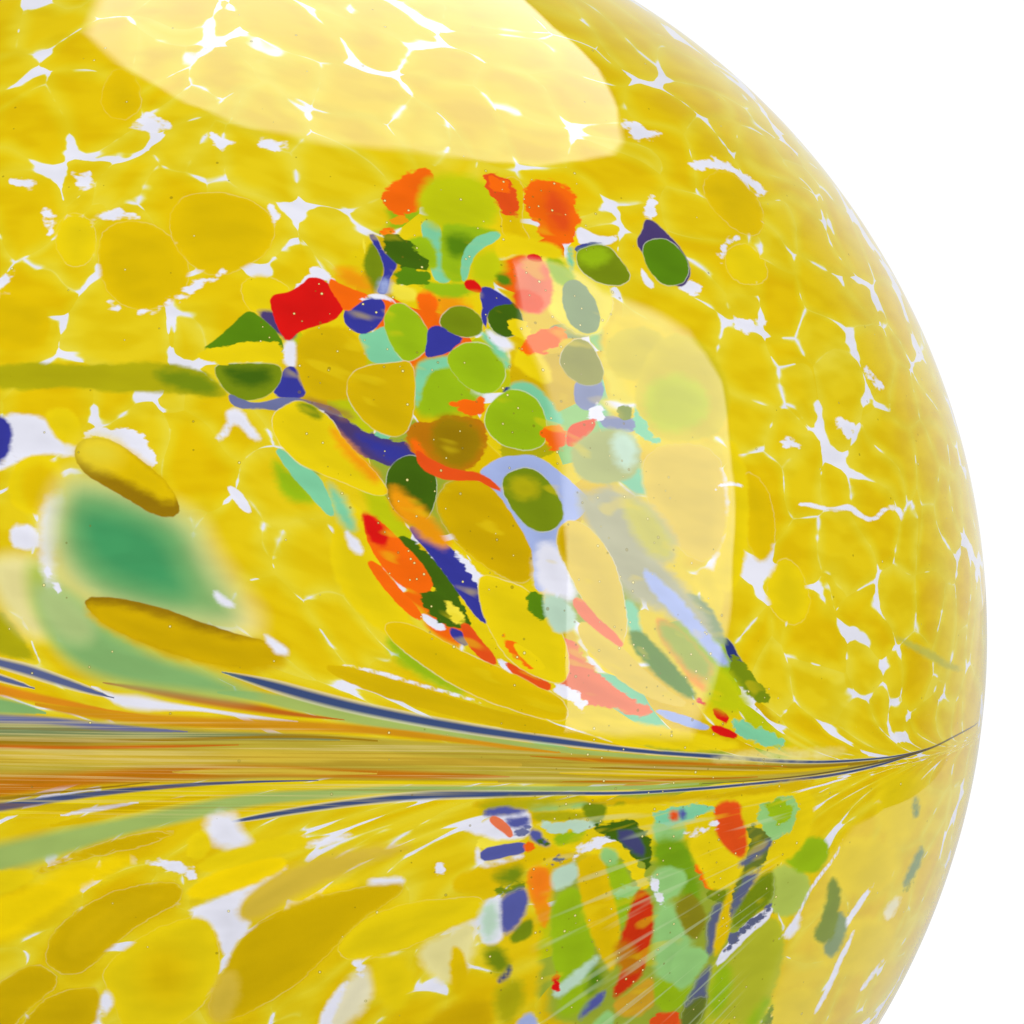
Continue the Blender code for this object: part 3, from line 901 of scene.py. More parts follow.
# %% Chips of the streak below the crease, on the right and at the bottom
CHIPS_LOWER = [
    ("olive", BLURRED, "580,804 600,802 608,803 605,818 598,824 587,820 583,812"),
    ("olive", BLURRED, "612,803 627,802 623,812 613,815"),
    ("yellow", TORN, "614,846 626,852 640,866 650,880 648,892 636,888 628,870"),
    ("forest", TORN,
     "590,828 604,822 618,822 634,819 646,832 652,848 650,870 642,862 630,852 618,840 604,836"),
    ("night", BLURRED, "616,830 634,830 646,846 644,858 630,850 620,841"),
    ("mint", BLURRED, "652,816 680,811 686,828 684,843 654,847"),
    ("aqua", TORN, "654,810 684,806 712,803 714,812 690,820 656,828"),
    ("leaf_green", SOFT, "652,840 684,836 698,860 692,876 664,870 652,860"),
    ("mint", BLURRED, "653,868 676,866 690,876 680,894 658,908 652,886"),
    ("leaf_green", SOFT, "678,872 694,866 702,888 698,910 682,900"),
    ("mint", SOFT, "653,906 670,898 688,928 694,950 676,990 653,980"),
    ("bronze_green", BLURRED, "673,908 686,892 699,898 706,914 704,930 692,942 682,926"),
    ("brick", BLURRED, "668,812 678,810 680,820 670,822"),
    ("indigo", BLURRED, "679,810 686,810 686,818 680,819"),
    ("white", TORN, "680,835 700,827 720,819 718,827 698,834 684,839"),
    ("yellow", BLURRED, "686,840 714,832 722,846 738,858 746,862 739,880 726,890 709,890 702,872 692,856"),
    ("orange", TORN, "694,864 700,862 708,878 716,888 708,890 700,880"),
    ("brick", BLURRED, "714,803 739,799 741,814 746,826 748,842 746,858 734,858 725,848 717,838 715,819"),
    ("mint", TORN, "756,806 786,794 798,802 796,822 784,838 768,840 760,824"),
    ("lime", TORN, "762,802 782,797 794,806 786,826 776,824"),
    ("pale_lime", BLURRED, "770,872 786,862 812,876 808,904 786,920 764,906"),
    ("lime", BLURRED, "780,854 800,836 830,838 828,862 812,876 792,870"),
    ("wheat", BLURRED, "710,966 728,944 756,926 778,914 786,944 776,988 756,1034 702,1034 708,1000"),
    ("lime", SOFT, "708,984 722,962 734,968 728,1004 710,1022"),
    ("gold", BLURRED, "728,889 740,880 734,906 730,925 727,943 714,960 713,944 717,925 723,908"),
    ("sedge", TORN,
     "746,826 758,824 771,842 768,854 760,868 750,882 742,896 735,910 729,920 731,898 738,876 746,858 "
     "750,842"),
    ("steel", BLURRED, "766,839 774,842 767,850 755,860 743,868 736,868 749,854"),
    ("steel", BLURRED, "752,870 762,867 755,882 745,896 737,910 729,921 732,898 742,882"),
    ("olive", LINED, "771,868 775,882 774,897 764,910 750,920 738,929 731,926 732,916 740,900 753,883"),
    ("white", CRISP, "775,905 768,921 752,932 739,947 726,959 713,970 720,952 740,928 762,910"),
    ("steel", TORN, "772,902 765,918 748,929 735,944 722,956 727,938 738,929 752,920 762,911"),
    ("olive", TORN, "704,896 716,884 727,889 728,898 720,905 713,899"),
    ("steel", LINED, "717,902 724,904 718,926 719,940 713,954 703,958 708,944 706,930 710,914"),
    ("mint", BLURRED, "668,960 694,943 710,954 705,966 690,986 676,992"),
    ("lime", BLURRED, "654,974 673,985 692,984 703,974 698,992 684,1006 668,1014 654,1004"),
    ("sedge", LINED, "688,1002 700,990 709,997 704,1010 698,1024 684,1034 679,1018"),
    ("steel", LINED, "712,962 710,978 705,990 709,999 700,996 690,1003 683,1008 696,980"),
    ("white", TORN, "650,877 656,877 661,894 670,908 661,905 653,894"),
    ("rust", BLURRED,
     "636,892 644,889 652,897 653,916 652,935 649,955 643,974 630,988 610,1001 616,983 626,962 618,946 "
     "625,926 631,906"),
    ("copper", SOFT, "614,946 626,940 642,956 638,972 620,974"),
    ("russet", BLURRED, "612,1004 630,990 653,974 657,992 652,1008 634,1018 617,1016"),
    ("lime", SOFT, "558,993 586,976 590,993 581,1014 558,1020"),
    ("pale_aqua", BLURRED, "552,990 580,968 598,953 601,960 580,982 556,1002"),
    ("green", SOFT, "589,970 600,964 604,982 586,1000"),
    ("indigo", BLURRED, "608,987 604,1002 590,1012 576,1024 582,1006 594,997"),
    ("mint", BLURRED, "586,1034 606,1008 616,1016 610,1034"),
    ("red", TORN, "554,970 560,973 558,991 554,988"),
    ("brick", TORN, "650,1018 664,1012 678,1008 684,1034 646,1034"),
]

# %% Chips and thin gaps beside the streak, on the right
CHIPS_RIGHT = [
    ("yellow", SOFT, "826,842 884,834 906,862 880,896 830,892"),
    ("yellow", SOFT, "812,930 880,912 902,946 862,978 818,968"),
    ("yellow", SOFT, "766,994 812,982 824,1018 768,1034"),
    ("yellow", SOFT, "872,776 924,770 926,812 904,850 880,838"),
    ("white", CRISP,
     "776,941 787,930 797,915 807,893 818,876 830,862 838,850 845,833 839,852 831,864.5 820,878 809,894 "
     "800,915 796,926 789,933"),
    ("white", CRISP, "836,934 848,916 860,898 877,878 866,899 853,919 840,936"),
    ("white", CRISP, "813,1013 827,986 836,962 846,944 857,924 850,946 840,965 831,988 816,1015"),
    ("white", CRISP, "859,991 870,974 888,953 874,976 862,992"),
    ("milk", BLURRED, "882,914 890,902 901,894 898,908 888,922"),
    ("sage", BLURRED, "915,796 920,800 919,814 915,820 912,808"),
    ("white", BLURRED, "801,910 800,924 794,935 783,940 790,927"),
    ("sage", BLURRED, "838,908 848,920 843,944 832,960 822,950 828,930"),
    ("olive", BLURRED, "830,876 836,878 842,892 838,920 834,938 823,946 812,934 820,922 825,906"),
    ("olive", TORN, "764,1012 774,1003 772,1022 762,1030"),
    ("lime", SOFT, "743,1026 766,996 772,1003 757,1030"),
    ("sage", BLURRED, "921,845 926,850 917,872 905,890 902,882 912,862"),
    ("khaki", TORN, "912,874 916,876 908,892 903,894"),
    ("hay", BLURRED,
     "890,635 906,640 922,646 938,655 950,664 962,668 960,672 946,669 930,660 914,650 900,642"),
    ("white", CRISP,
     "797,506 803,501 816,504 832,508 846,504 853,505 860,512 869,518 875,516 884,507 894,504 904,511 "
     "904,521 900,521 899,514 893,508 886,511 876,521 868,522 856,515 848,509 834,512 816,509 804,506"),
    ("white", CRISP, "713,493 717,485 728,481 739,482 747,489 738,486 728,485 720,488"),
]

# %% Yellow chips and gaps that stand out
CHIPS_YELLOW = [
    ("gold", LINED, "100,104 104,82 118,66 134,74 142,92 140,112 126,121 108,116"),
    ("gold", LINED,
     "98,246 104,228 122,220 150,222 176,240 190,262 188,288 172,304 146,312 122,306 106,290 98,268"),
    ("gold", LINED,
     "168,216 180,198 206,191 236,194 262,206 276,224 272,246 256,262 232,274 206,276 186,262 172,240"),
    ("yellow", LINED, "53,238 60,220 76,211 92,220 98,240 92,260 78,269 62,262"),
    ("gold", BLURRED, "-12,300 14,292 40,300 52,320 46,344 20,352 -12,346"),
    ("yellow", LINED, "238,282 262,272 288,284 292,300 270,316 246,310"),
    ("gold", LINED,
     "702,184 712,172 728,171 745,182 758,198 764,216 762,232 750,237 732,228 716,214 705,200"),
    ("yellow", LINED, "724,258 730,246 744,242 758,250 767,264 768,278 758,285 742,284 728,274"),
    ("yellow", SOFT,
     "610,312 640,318 672,334 700,352 722,384 728,420 712,436 690,444 660,430 636,400 612,360"),
    ("straw", LINED, "640,470 652,448 686,442 716,450 726,480 728,530 716,560 690,560 664,530 646,500"),
    ("lemon", LINED, "520,250 560,252 596,272 618,296 600,340 566,330 540,300"),
    ("yellow", LINED, "765,590 776,560 792,558 806,580 812,606 800,626 782,622 770,608"),
    ("gold", LINED, "738,500 744,470 760,476 774,506 776,546 764,566 748,548"),
    ("gold", LINED, "500,178 520,176 526,196 520,224 534,240 510,246 500,226"),
    ("yellow", BLURRED, "722,436 742,448 750,500 746,566 728,600 708,574 728,530 727,480"),
    ("yellow", BLURRED, "700,566 716,570 726,596 720,622 704,600 692,580"),
    ("white", GAP, "148,111 157,119 167,116 162,124 176,132 160,127 152,135 140,126 112,127 136,123"),
    ("white", GAP, "209,126 216,138 228,139 240,144 226,144 221,153 216,146 212,139"),
    ("white", GAP, "259,139 269,140 277,141 291,146 278,146 276,154 268,149 257,147"),
    ("white", GAP, "7,180 24,179 41,182 36,186 26,189 14,184"),
    ("white", GAP, "71,172 83,174 90,171 92,180 96,187 86,187 80,194 79,184"),
    ("white", GAP, "42,205 50,212 59,214 53,224 51,240 48,226 41,214"),
    ("white", GAP, "94,217 110,214 121,204 127,214 146,219 124,218 106,220"),
    ("white", GAP, "268,203 277,212 288,215 278,218 273,230 273,217"),
    ("white", GAP, "183,293 191,281 214,277 226,268 221,279 200,287 184,299 150,313 130,312 150,311"),
    ("white", GAP, "100,292 108,300 124,309 112,310 105,304"),
    ("white", GAP, "-11,285 7,273 12,263 15,270 9,285 -11,295"),
    ("white", GAP, "618,120 640,123 654,132 665,133 649,138 640,144 629,133"),
    ("white", GAP,
     "689,164 700,159 716,157 731,166 749,178 767,190 765,197 749,187 731,171 714,165 702,171 693,169"),
    ("white", GAP, "718,256 721,244 734,236 741,238 730,243 722,252 724,264"),
    ("white", GAP, "732,319 740,317 750,323 760,318 767,322 756,326 748,337 742,327 735,329"),
    ("white", GAP, "835,419 842,418 851,423 856,431 852,440 845,434 838,427"),
    ("white", GAP, "777,444 786,439 792,435 795,442 806,446 792,447"),
    ("white", GAP, "862,364 871,373 885,388 880,389 867,378"),
    ("haze", SOFT, "700,760 760,752 820,752 850,750 820,757 760,760"),
]

# %% Two chips that lie on their own
CHIPS_APART = [
    ("white", CRISP, "576,224 590,232 604,238 622,234 612,245 590,248 577,244"),
    ("blue", CRISP, "573,251 580,243 600,242 610,244 590,248 580,254"),
    ("aqua", BLURRED, "566,246 574,248 574,272 568,268"),
    ("olive", RIMMED, "575,252 590,245 608,244 619,258 632,275 626,285 608,286 589,279 577,266"),
    ("lime", SOFT, "575,253 592,246 608,247 612,260 594,268 580,264"),
    ("white", TORN, "647,196 656,197 656,214 650,222 643,214"),
    ("white", TORN, "680,282 692,276 697,284 705,293 690,294 676,290"),
    ("white", CRISP, "640,266 648,276 656,288 650,290 642,280"),
    ("violet", INKED,
     "645,218 655,221 669,235 681,248 690,265 691,277 684,287 676,287 669,281 654,262 639,250 636,240 "
     "643,230"),
    ("green", RIMMED, "644,243 655,238 668,239 682,251 690,266 687,281 674,287 660,284 649,270 642,256"),
]

# %% All the large chips, from the first laid to the last
drawn_chips = (
    CHIPS_YELLOW + CHIPS_LEFT + CHIPS_TOP + CHIPS_MIDDLE + CHIPS_SHINED + CHIPS_ABOVE
    + CHIPS_LEAVES + CHIPS_BELOW + CHIPS_LOWER + CHIPS_RIGHT + CHIPS_APART
)
CHIPS = [(glass, look, corners_of(outline)) for glass, look, outline in drawn_chips]
print(len(CHIPS), "large chips")

# %% [markdown]
# ## Chips on the white core
# The chips have spread until they meet. A chip is thickest in its middle, so it is deeper there and
# paler towards its border. Some borders show as a white hairline, and where three chips meet, a
# star of bare white may be left. Nearly all chips are yellow. Only in the streak are the colours
# mixed: there each chip picks its colour from a list. Rows of numbers such as `STAR` are slopes:
# where each starts and ends, then its values there, or none where it runs from nought to one.

# %% The chips group
CHIP_SIZE = 11.5
CORE_WHITE = (0.81, 0.81, 0.90)
YELLOW_PASSES = (0.966, 0.715, 0.006)
WISP_STRETCH, WISP_DETAIL = (1.4, 1.4, 3.6), 1.5
BENDS = [((2.1, 1.7, 2.6), 0.20), ((5.3, 7.1, 4.4), 0.05)]
STAR, STAR_RAGGED = (1.00, 1.20, 0.0, 0.15), 0.6
HAIRLINE, FEATHER = (0.50, 0.64, -0.050, 0.002), (0.40, 0.64, 0.022, 0.085)
THICKNESS, TONES = (0.0, 0.24, 0.66, 1.02), (0.35, 0.85)
THICKER_PLACES = (0.40, 0.66, 0.0, 0.16)
STREAK_EDGE, STREAK_RAGGED = (17.0, 5.0), 30.0
STREAK_COLOURS = [
    "yellow", "lime", "gold", "yellow", "aqua", "sun", "chartreuse", "yellow", "orange", "gold",
    "mint", "yellow", "pear", "ochre",
]


def bent(tree, place, turn, amount):
    """Moves points a little to and fro, so that straight borders curve."""
    wave = vector(tree, "SINE", vector(tree, "CROSS_PRODUCT", place, turn))
    return vector(tree, "MULTIPLY_ADD", wave, (amount, amount, amount), place)


def chips_group():
    tree, wire = new_group(
        "chips",
        {"Place": "vector", "Streak": "value"},
        {"Colour": "colour", "Uneven": "value", "Wisps": "value"},
    )
    scale = 1 / CHIP_SIZE
    place = vector(tree, "MULTIPLY", wire["Place"], (scale, scale, scale))
    wispy_place = vector(tree, "MULTIPLY", place, WISP_STRETCH)
    fineness = {"Scale": 1.0, "Detail": WISP_DETAIL}
    noise = put(tree, "ShaderNodeTexNoise", wispy_place, named=fineness, out="Color")
    uneven, wisps, lined = parts(tree, noise)
    for turn, amount in BENDS:
        place = bent(tree, place, turn, amount)
    cell = put(tree, "ShaderNodeTexVoronoi", place, named={"Scale": 1.0})
    to_border = put(tree, "ShaderNodeTexVoronoi", place, named={"Scale": 1.0}, feature="DISTANCE_TO_EDGE")
    tone, pick, _ = parts(tree, output_of(cell, "Color"))
    star = (cell + wisps * STAR_RAGGED).from_to(*STAR)
    line = lined.from_to(*HAIRLINE) + star
    covered = (to_border - line).from_to(0.0, wisps.from_to(*FEATHER))
    thick = to_border.from_to(*THICKNESS) * (tone * TONES[0] + TONES[1])
    glass = covered * (thick + uneven.from_to(*THICKER_PLACES))
    passes = vector(tree, "POWER", YELLOW_PASSES, joined(tree, glass, glass, glass))
    yellow = vector(tree, "MULTIPLY", passes, CORE_WHITE)
    palette = put(tree, "ShaderNodeValToRGB", pick).socket.node
    palette.color_ramp.interpolation = "CONSTANT"
    stops = palette.color_ramp.elements
    stops.remove(stops[-1])
    for index, name in enumerate(STREAK_COLOURS):
        stop = stops[0] if index == 0 else stops.new(index / len(STREAK_COLOURS))
        stop.color = (*GLASS[name], 1.0)
    inside = (wire["Streak"] + lined * STREAK_RAGGED).from_to(*STREAK_EDGE) * covered
    colour = mixed(tree, inside, yellow, Wire(tree, palette.outputs[0]))
    finish_group(tree, Colour=colour, Uneven=uneven, Wisps=wisps)
    return tree


chips = chips_group()

# %% [markdown]
# ## From outlines to the skin
# Each chip's outline is rounded off, and every point of the skin is given its distance to it. Chips
# that touch go on different levels, and a chip that overlaps an earlier one goes above it. Each level
# stores the colour, distance and look of whichever of its chips is nearest. So a border is drawn
# sharply between the points of the skin, and a few values per point carry all the chips.

# %% Distances to the chips
FAR, MARGIN = 60.0, 26.0
SHADE_DEPTH, SHADE_WITHIN, SHADE_AT_EDGE = 16.0, 0.97, 1.07
CLEARANCE, OVERLAP, OVERLAP_SHARE = 3.0, 5.0, 0.6
ROUNDS, CORNER_CUT = 2, 0.25


def rounded(outline):
    """The outline with its corners cut off, twice over."""
    points = np.array(outline, float)
    for _ in range(ROUNDS):
        following = np.roll(points, -1, axis=0)
        leaving = (1 - CORNER_CUT) * points + CORNER_CUT * following
        arriving = CORNER_CUT * points + (1 - CORNER_CUT) * following
        points = np.stack([leaving, arriving], axis=1).reshape(-1, 2)
    return points


def distances(points, outline):
    """How far points lie from an outline in pixels, less than zero inside it."""
    nearest = np.full(len(points), np.inf)
    inside = np.zeros(len(points), bool)
    for start, end in zip(outline, np.roll(outline, -1, axis=0)):
        edge = end - start
        along = np.clip((points - start) @ edge / max(edge @ edge, 1e-9), 0, 1)
        away = points - start - along[:, None] * edge
        nearest = np.minimum(nearest, np.hypot(away[:, 0], away[:, 1]))
        if start[1] != end[1]:
            crosses = (start[1] > points[:, 1]) != (end[1] > points[:, 1])
            crossing = start[0] + (points[:, 1] - start[1]) * edge[0] / edge[1]
            inside ^= crosses & (points[:, 0] < crossing)
    return np.where(inside, -nearest, nearest)


def near_distances(points, in_view, outline):
    """The same, worked out only for points near the outline and on the side in view."""
    boxed = (points > outline.min(0) - MARGIN) & (points < outline.max(0) + MARGIN)
    near = in_view & boxed.all(axis=1)
    result = np.full(len(points), FAR)
    result[near] = distances(points[near], outline)
    return result


def stacked(fields, outlines):
    """A level for each chip: above what it truly overlaps, and never beside a chip that it touches."""
    levels = []
    depths = [-field.min() for field in fields]
    for later, (field, outline) in enumerate(zip(fields, outlines)):
        lowest, taken = 0, set()
        for earlier in range(later):
            other = outlines[earlier]
            apart = np.maximum(outline.min(0) - other.max(0), other.min(0) - outline.max(0))
            if apart.max() > MARGIN:
                continue
            closest = np.maximum(field, fields[earlier]).min()
            reach = CLEARANCE + max(CHIPS[later][1].soft, CHIPS[earlier][1].soft) / 4
            if closest < reach:
                taken.add(levels[earlier])
            if closest < -min(OVERLAP, OVERLAP_SHARE * min(depths[later], depths[earlier])):
                lowest = max(lowest, levels[earlier] + 1)
        free = (level for level in range(lowest, len(fields) + 1) if level not in taken)
        levels.append(next(free))
    return levels


def chip_levels(points, in_view):
    """For each level: the colour, the edge (distance, softness, wander) and the rim at every point."""
    outlines = [rounded(outline) for _, _, outline in CHIPS]
    fields = [near_distances(points, in_view, outline) for outline in outlines]
    placed = stacked(fields, outlines)
    levels = []
    for _ in range(max(placed) + 1):
        edge = np.tile([FAR, 1.0, 0.0], (len(points), 1))
        levels.append((np.zeros((len(points), 3)), edge, np.zeros(len(points))))
    for (glass, look, _), distance, level in zip(CHIPS, fields, placed):
        colour, edge, rim = levels[level]
        nearer = distance < edge[:, 0]
        shade = np.interp(distance[nearer], [-SHADE_DEPTH, 0.0], [SHADE_WITHIN, SHADE_AT_EDGE])
        colour[nearer] = shade[:, None] * GLASS[glass]
        edge[nearer, 0] = distance[nearer]
        edge[nearer, 1:] = look.soft, look.wander
        rim[nearer] = look.rim
    return levels


# %% [markdown]
# A level is laid over the colours below it by this group. A pale hairline runs along some borders:
# a painted highlight, where light glints on the border's slight relief.

# %% The lay-chip group
RIM_WIDTH, RIM_CORE = 1.0, 0.0
RIM_HIGHLIGHT = linear(240, 238, 218)


def lay_chip_group():
    tree, wire = new_group(
        "lay_chip",
        {"Below": "colour", "Tint": "vector", "Edge": "vector", "Rim": "value", "Wander": "value"},
        {"Colour": "colour"},
    )
    distance, soft, wander = parts(tree, wire["Edge"])
    distance = distance + wire["Wander"] * wander
    cover = (distance / soft).from_to(0.5, -0.5)
    colour = mixed(tree, cover, wire["Below"], wire["Tint"])
    # The rim line is a painted highlight along the chip's border.
    line = distance.apply("ABSOLUTE").from_to(RIM_WIDTH, RIM_CORE) * wire["Rim"]
    finish_group(tree, Colour=mixed(tree, line, colour, RIM_HIGHLIGHT))
    return tree


lay_chip = lay_chip_group()

# %% [markdown]
# ## Threads in the crease
# Chips that the tool pulled out lie along the crease as threads. Each is given by points of the
# photograph, written as x,y,half width. Between those it follows a smooth curve over the longitude.
# Past the photograph's left edge the threads spread out, and each ends at a place of its own. Two
# threads are painted light: the white thread above the crease is a painted reflection between the
# bands, and the dark line at the crease's right end is painted shade.

# %% Threads


class Thread(NamedTuple):
    """A drawn-out chip: its glass, how soft its edges are, a pale rim or none, and its path."""

    glass: str
    soft: float
    rim: float
    path: str


THREADS = [
    Thread("band", 0.12, 0.0,
     "0,750,37 100,752,32 200,755,27 330,757,23 426,762,21 490,764,19 553,768,17 630,770.5,15 726,770.5,11 "
     "810,769.5,6.5 863,763.5,3.4 905,756.5,1.7 930,748.5,0.8"),
    Thread("sea", 0.5, 0.0, "0,706,9 24,709,6 50,714,0.4"),
    Thread("fern", 0.6, 0.0,
     "0,858,17 63,842,15 126,826,10 190,812,9.5 253,800,7.5 330,794,5.5 384,790,4.2 468,789.5,4 "
     "553,789,3.2 640,787.5,2.6 700,784,1"),
    Thread("pale_sea", 0.5, 0.0,
     "216,692,1 253,696,5 300,705,8 384,722,8.5 468,737,5 553,749,3 640,756.5,2.2 700,759.5,1"),
    Thread("yellow", 0.5, 0.0, "40,672,2 100,688,6 180,703,7 250,713,5 320,722,2"),
    # This white thread is a painted reflection: a pale glare on the casing between the bands.
    Thread("white", 0.7, 0.0, "90,686,0.6 112,698,5 140,703,8 164,706,5 196,709,2.5 260,718,2 300,722,0.5"),
    Thread("brown_orange", 0.8, 0.0, "99,682,0.3 137,688,3.2 190,698,5 253,708,5 300,715,2.6 345,720,0.5"),
    Thread("light_orange", 0.6, 0.0, "0,690,6.5 32,697,5.4 69,704,4 110,711,1.5 150,716,0.4"),
    Thread("old_amber", 0.6, 0.0,
     "30,703,1 60,709,4 95,714,5.5 147,719,6.2 210,723,6.6 274,725.5,6.6 330,727.5,5.6 384,731.5,4.4 "
     "426,736,3.8 468,741.5,3 520,748.5,2.4 560,753,1"),
    Thread("tan", 0.8, 0.0, "0,757,8.5 105,758,8.5 190,758,9 274,757,8.5 360,757,7 440,761,5 520,765,3"),
    Thread("deep_band", 0.9, 0.0,
     "590,768,0.4 660,768.5,3.5 720,769.5,5 780,769,4.5 840,765.5,2.6 880,761,1"),
    Thread("slate_green", 0.8, 0.0, "0,730,9 63,731,8 126,733.5,6 190,736,4.6 274,737,3.4 340,740,1"),
    Thread("slate", 0.7, 0.0, "0,719,5 48,721,4.4 105,727,4 150,730,2.4 190,732,0.5"),
    Thread("deep_band", 0.8, 0.0, "0,741,4.5 126,741,2.6 210,738.5,2 316,737,2 380,741,1"),
    Thread("brick_band", 0.8, 0.0, "0,746.5,2.8 84,747.5,2.2 168,746.5,1.8 240,745,0.6"),
    Thread("deep_orange", 0.7, 0.0,
     "0,787,14 63,781.5,10 126,776,8.5 190,773,8 274,771,6.6 330,773,5.6 384,774.5,5 450,776,3.6 "
     "510,777,0.8"),
    Thread("tan", 0.8, 0.0, "170,772,0.6 220,772,3.4 270,771,4.2 330,773,2.6 380,774,0.6"),
    Thread("deep_band", 0.8, 0.0, "0,799,2.5 60,792,1.6 120,786,1 160,781,0.4"),
    Thread("yellow", 0.4, 0.0,
     "0,815,3 84,802,5 168,793,6 253,787,4.6 330,785,3.6 384,783,2.6 450,782.5,2 500,782,1"),
    Thread("ink", 0.6, 0.0, "0,807,5 63,798,3.8 126,790.5,3 190,785,2.2 253,782,1.4 320,780.6,0.5"),
    Thread("white", 0.8, 0.0, "56,816,0.5 84,811,2.5 112,807,2.4 140,802.5,0.8"),
    Thread("gold", 0.4, 0.0, "42,827,0.5 80,820,4 120,811.5,4.6 168,802,4 210,797,1"),
    Thread("deep_orange", 0.9, 0.0,
     "530,756,0.4 590,760,2.6 650,762.5,2.6 700,764,2 750,765.5,1 790,767,0.4"),
    Thread("gold", 0.8, 0.0, "560,773,1 630,774.5,4.5 726,773.5,4 800,770.5,2.2 850,766,0.8"),
    Thread("deep_orange", 0.8, 0.0, "560,782,0.4 620,781.5,1.5 700,779,1.1 760,777,0.5"),
    Thread("ink", 0.6, 0.6,
     "218,671,0.3 245,678,3 274,686,5.2 310,696,5.8 350,706,5.6 400,716.5,5.2 468,728.5,4.7 553,740.5,3.7 "
     "630,750,2.4 726,757.3,2.3 810,762,1.6 863,760,1.2 905,754.8,0.8 932,747.5,0.4"),
    Thread("deep_slate", 0.6, 0.6, "0,663,4.6 30,671,5.6 59,680.5,5 88,690,3.4 118,699,0.3"),
    Thread("deep_slate", 0.6, 0.6, "0,678,3.4 20,684,2.4 40,690,0.3"),
    Thread("ink", 0.6, 0.6,
     "214,825,0.3 253,818,2.3 295,811,3 363,801.6,3.3 426,795.8,3.9 490,794.4,3.3 553,793.6,2.1 "
     "630,793,1.7 684,790,1.6 768,782.6,1.5 832,775.3,1.6 874,766.8,1.4 905,757.6,0.9 932,748.5,0.4"),
    # This dark thread is painted shade: the crease's valley and its soft shadow towards its right end.
    Thread("crease_shade", 0.8, 0.0,
     "700,784,0.3 800,776.5,1 860,767,1.2 905,756.4,1.6 932,748,1.3 955,736.5,1.1 978,723,0.8"),
]
LEFT_EDGE = 4
SPREAD_LEFT = [(-50.0, 1.7, 1.2), (-84.0, 2.3, 0.7)]
LEFT_END, LEFT_END_VARIES, LEFT_END_SPREAD = -112.0, 14.0, 2.5
THINNEST, ENDED = 0.02, 0.0002
RIM_SHARE = (1.45, 1.10)


def crease_at(longitude):
    """The latitude of the crease, in degrees."""
    return CREASE_LATITUDE + CREASE_DIP * np.exp(-(((longitude - DIP_LONGITUDE) / DIP_WIDTH) ** 2))


def on_ball(x_px, y_px):
    """The longitude of the point that shows at a pixel, and its distance above the crease in mm."""
    x, y, z = (ball_point(x_px, y_px)[0] - MIDDLE) / RADIUS
    longitude = math.degrees(math.atan2(x, -y))
    return longitude, (math.degrees(math.asin(z)) - crease_at(longitude)) * MM_PER_DEGREE


def thread_keys(path):
    """The thread's path as longitudes in degrees, and heights above the crease and half widths in mm."""
    keys = []
    for x_px, y_px, half in path:
        longitude, upper = on_ball(x_px, y_px - half)
        lower = on_ball(x_px, y_px + half)[1]
        keys.append((longitude, (upper + lower) / 2, (upper - lower) / 2))
    if path[0][0] < LEFT_EDGE:
        _, height, half = keys[0]
        keys = [(there, height * spread, half * wide) for there, spread, wide in SPREAD_LEFT] + keys
        end = LEFT_END + LEFT_END_VARIES * math.sin(path[0][1])
        keys.append((end, height * LEFT_END_SPREAD, 0.0))
    return np.array(sorted(keys))


def curve(places, knots, values):
    """A smooth curve through the knots' values, level beyond its ends."""
    slopes = np.gradient(values, knots)
    places = np.clip(places, knots[0], knots[-1])
    piece = np.clip(np.searchsorted(knots, places) - 1, 0, len(knots) - 2)
    width = knots[piece + 1] - knots[piece]
    part = (places - knots[piece]) / width
    from_start = values[piece] * (1 + 2 * part) + slopes[piece] * width * part
    from_end = values[piece + 1] * (3 - 2 * part) + slopes[piece + 1] * width * (part - 1)
    return from_start * (1 - part) ** 2 + from_end * part**2


def thread_field(thread, longitude, across):
    """How far points lie from the thread's middle line, counted in its half widths."""
    keys = thread_keys(corners_of(thread.path))
    middle = curve(longitude, keys[:, 0], keys[:, 1])
    half = curve(longitude, keys[:, 0], keys[:, 2])
    beyond = np.maximum(keys[0, 0] - longitude, longitude - keys[-1, 0])
    thinnest = np.where(beyond > 0, ENDED, THINNEST)
    return (across - middle) / np.maximum(half - np.maximum(beyond, 0), thinnest)


def draw_threads(tree, colour):
    """Lays the threads over a colour, from the first to the last."""
    packed = [attribute(tree, f"threads_{index}") for index in range(0, len(THREADS), 3)]
    offs = [part for triple in packed for part in parts(tree, vector(tree, "ABSOLUTE", triple))]
    for thread, off in zip(THREADS, offs):
        if thread.rim:
            colour = mixed(tree, off.from_to(*RIM_SHARE) * thread.rim, colour, GLASS["milk"])
        cover = off.from_to(1 + thread.soft / 2, 1 - thread.soft)
        colour = mixed(tree, cover, colour, GLASS[thread.glass])
    return colour


# %% [markdown]
# Over the threads the glass is streaked finely along the crease, like brushed paint.

# %% The streaks group
STREAK_LENGTH, STREAK_WIDTH = 26.0, 0.50
STREAK_DETAIL, STREAKED_LANE = 2.0, (9.0, 6.0)
PALE_STREAK, PALE_SHOWS, PALE_SHARE = linear(232, 214, 140), (0.52, 0.68), 0.42
DEEP_STREAK, DEEP_SHOWS, DEEP_SHARE = linear(160, 112, 6), (0.46, 0.34), 0.34


def streaks_group():
    tree, wire = new_group(
        "streaks",
        {"Below": "colour", "Longitude": "value", "Across": "value", "Lane": "value"},
        {"Colour": "colour"},
    )
    place = joined(tree, wire["Longitude"] / STREAK_LENGTH, wire["Across"] / STREAK_WIDTH, 0.0)
    fineness = {"Scale": 1.0, "Detail": STREAK_DETAIL}
    noise = put(tree, "ShaderNodeTexNoise", place, noise_dimensions="2D", named=fineness)
    near = wire["Lane"].apply("ABSOLUTE").from_to(*STREAKED_LANE)
    pale = mixed(tree, noise.from_to(*PALE_SHOWS) * near * PALE_SHARE, wire["Below"], PALE_STREAK)
    deep = mixed(tree, noise.from_to(*DEEP_SHOWS) * near * DEEP_SHARE, pale, DEEP_STREAK)
    finish_group(tree, Colour=deep)
    return tree


streaks = streaks_group()

# %% [markdown]
# Below the crease the tool combed the streak: thin pale lines fan out from the crease's right end.

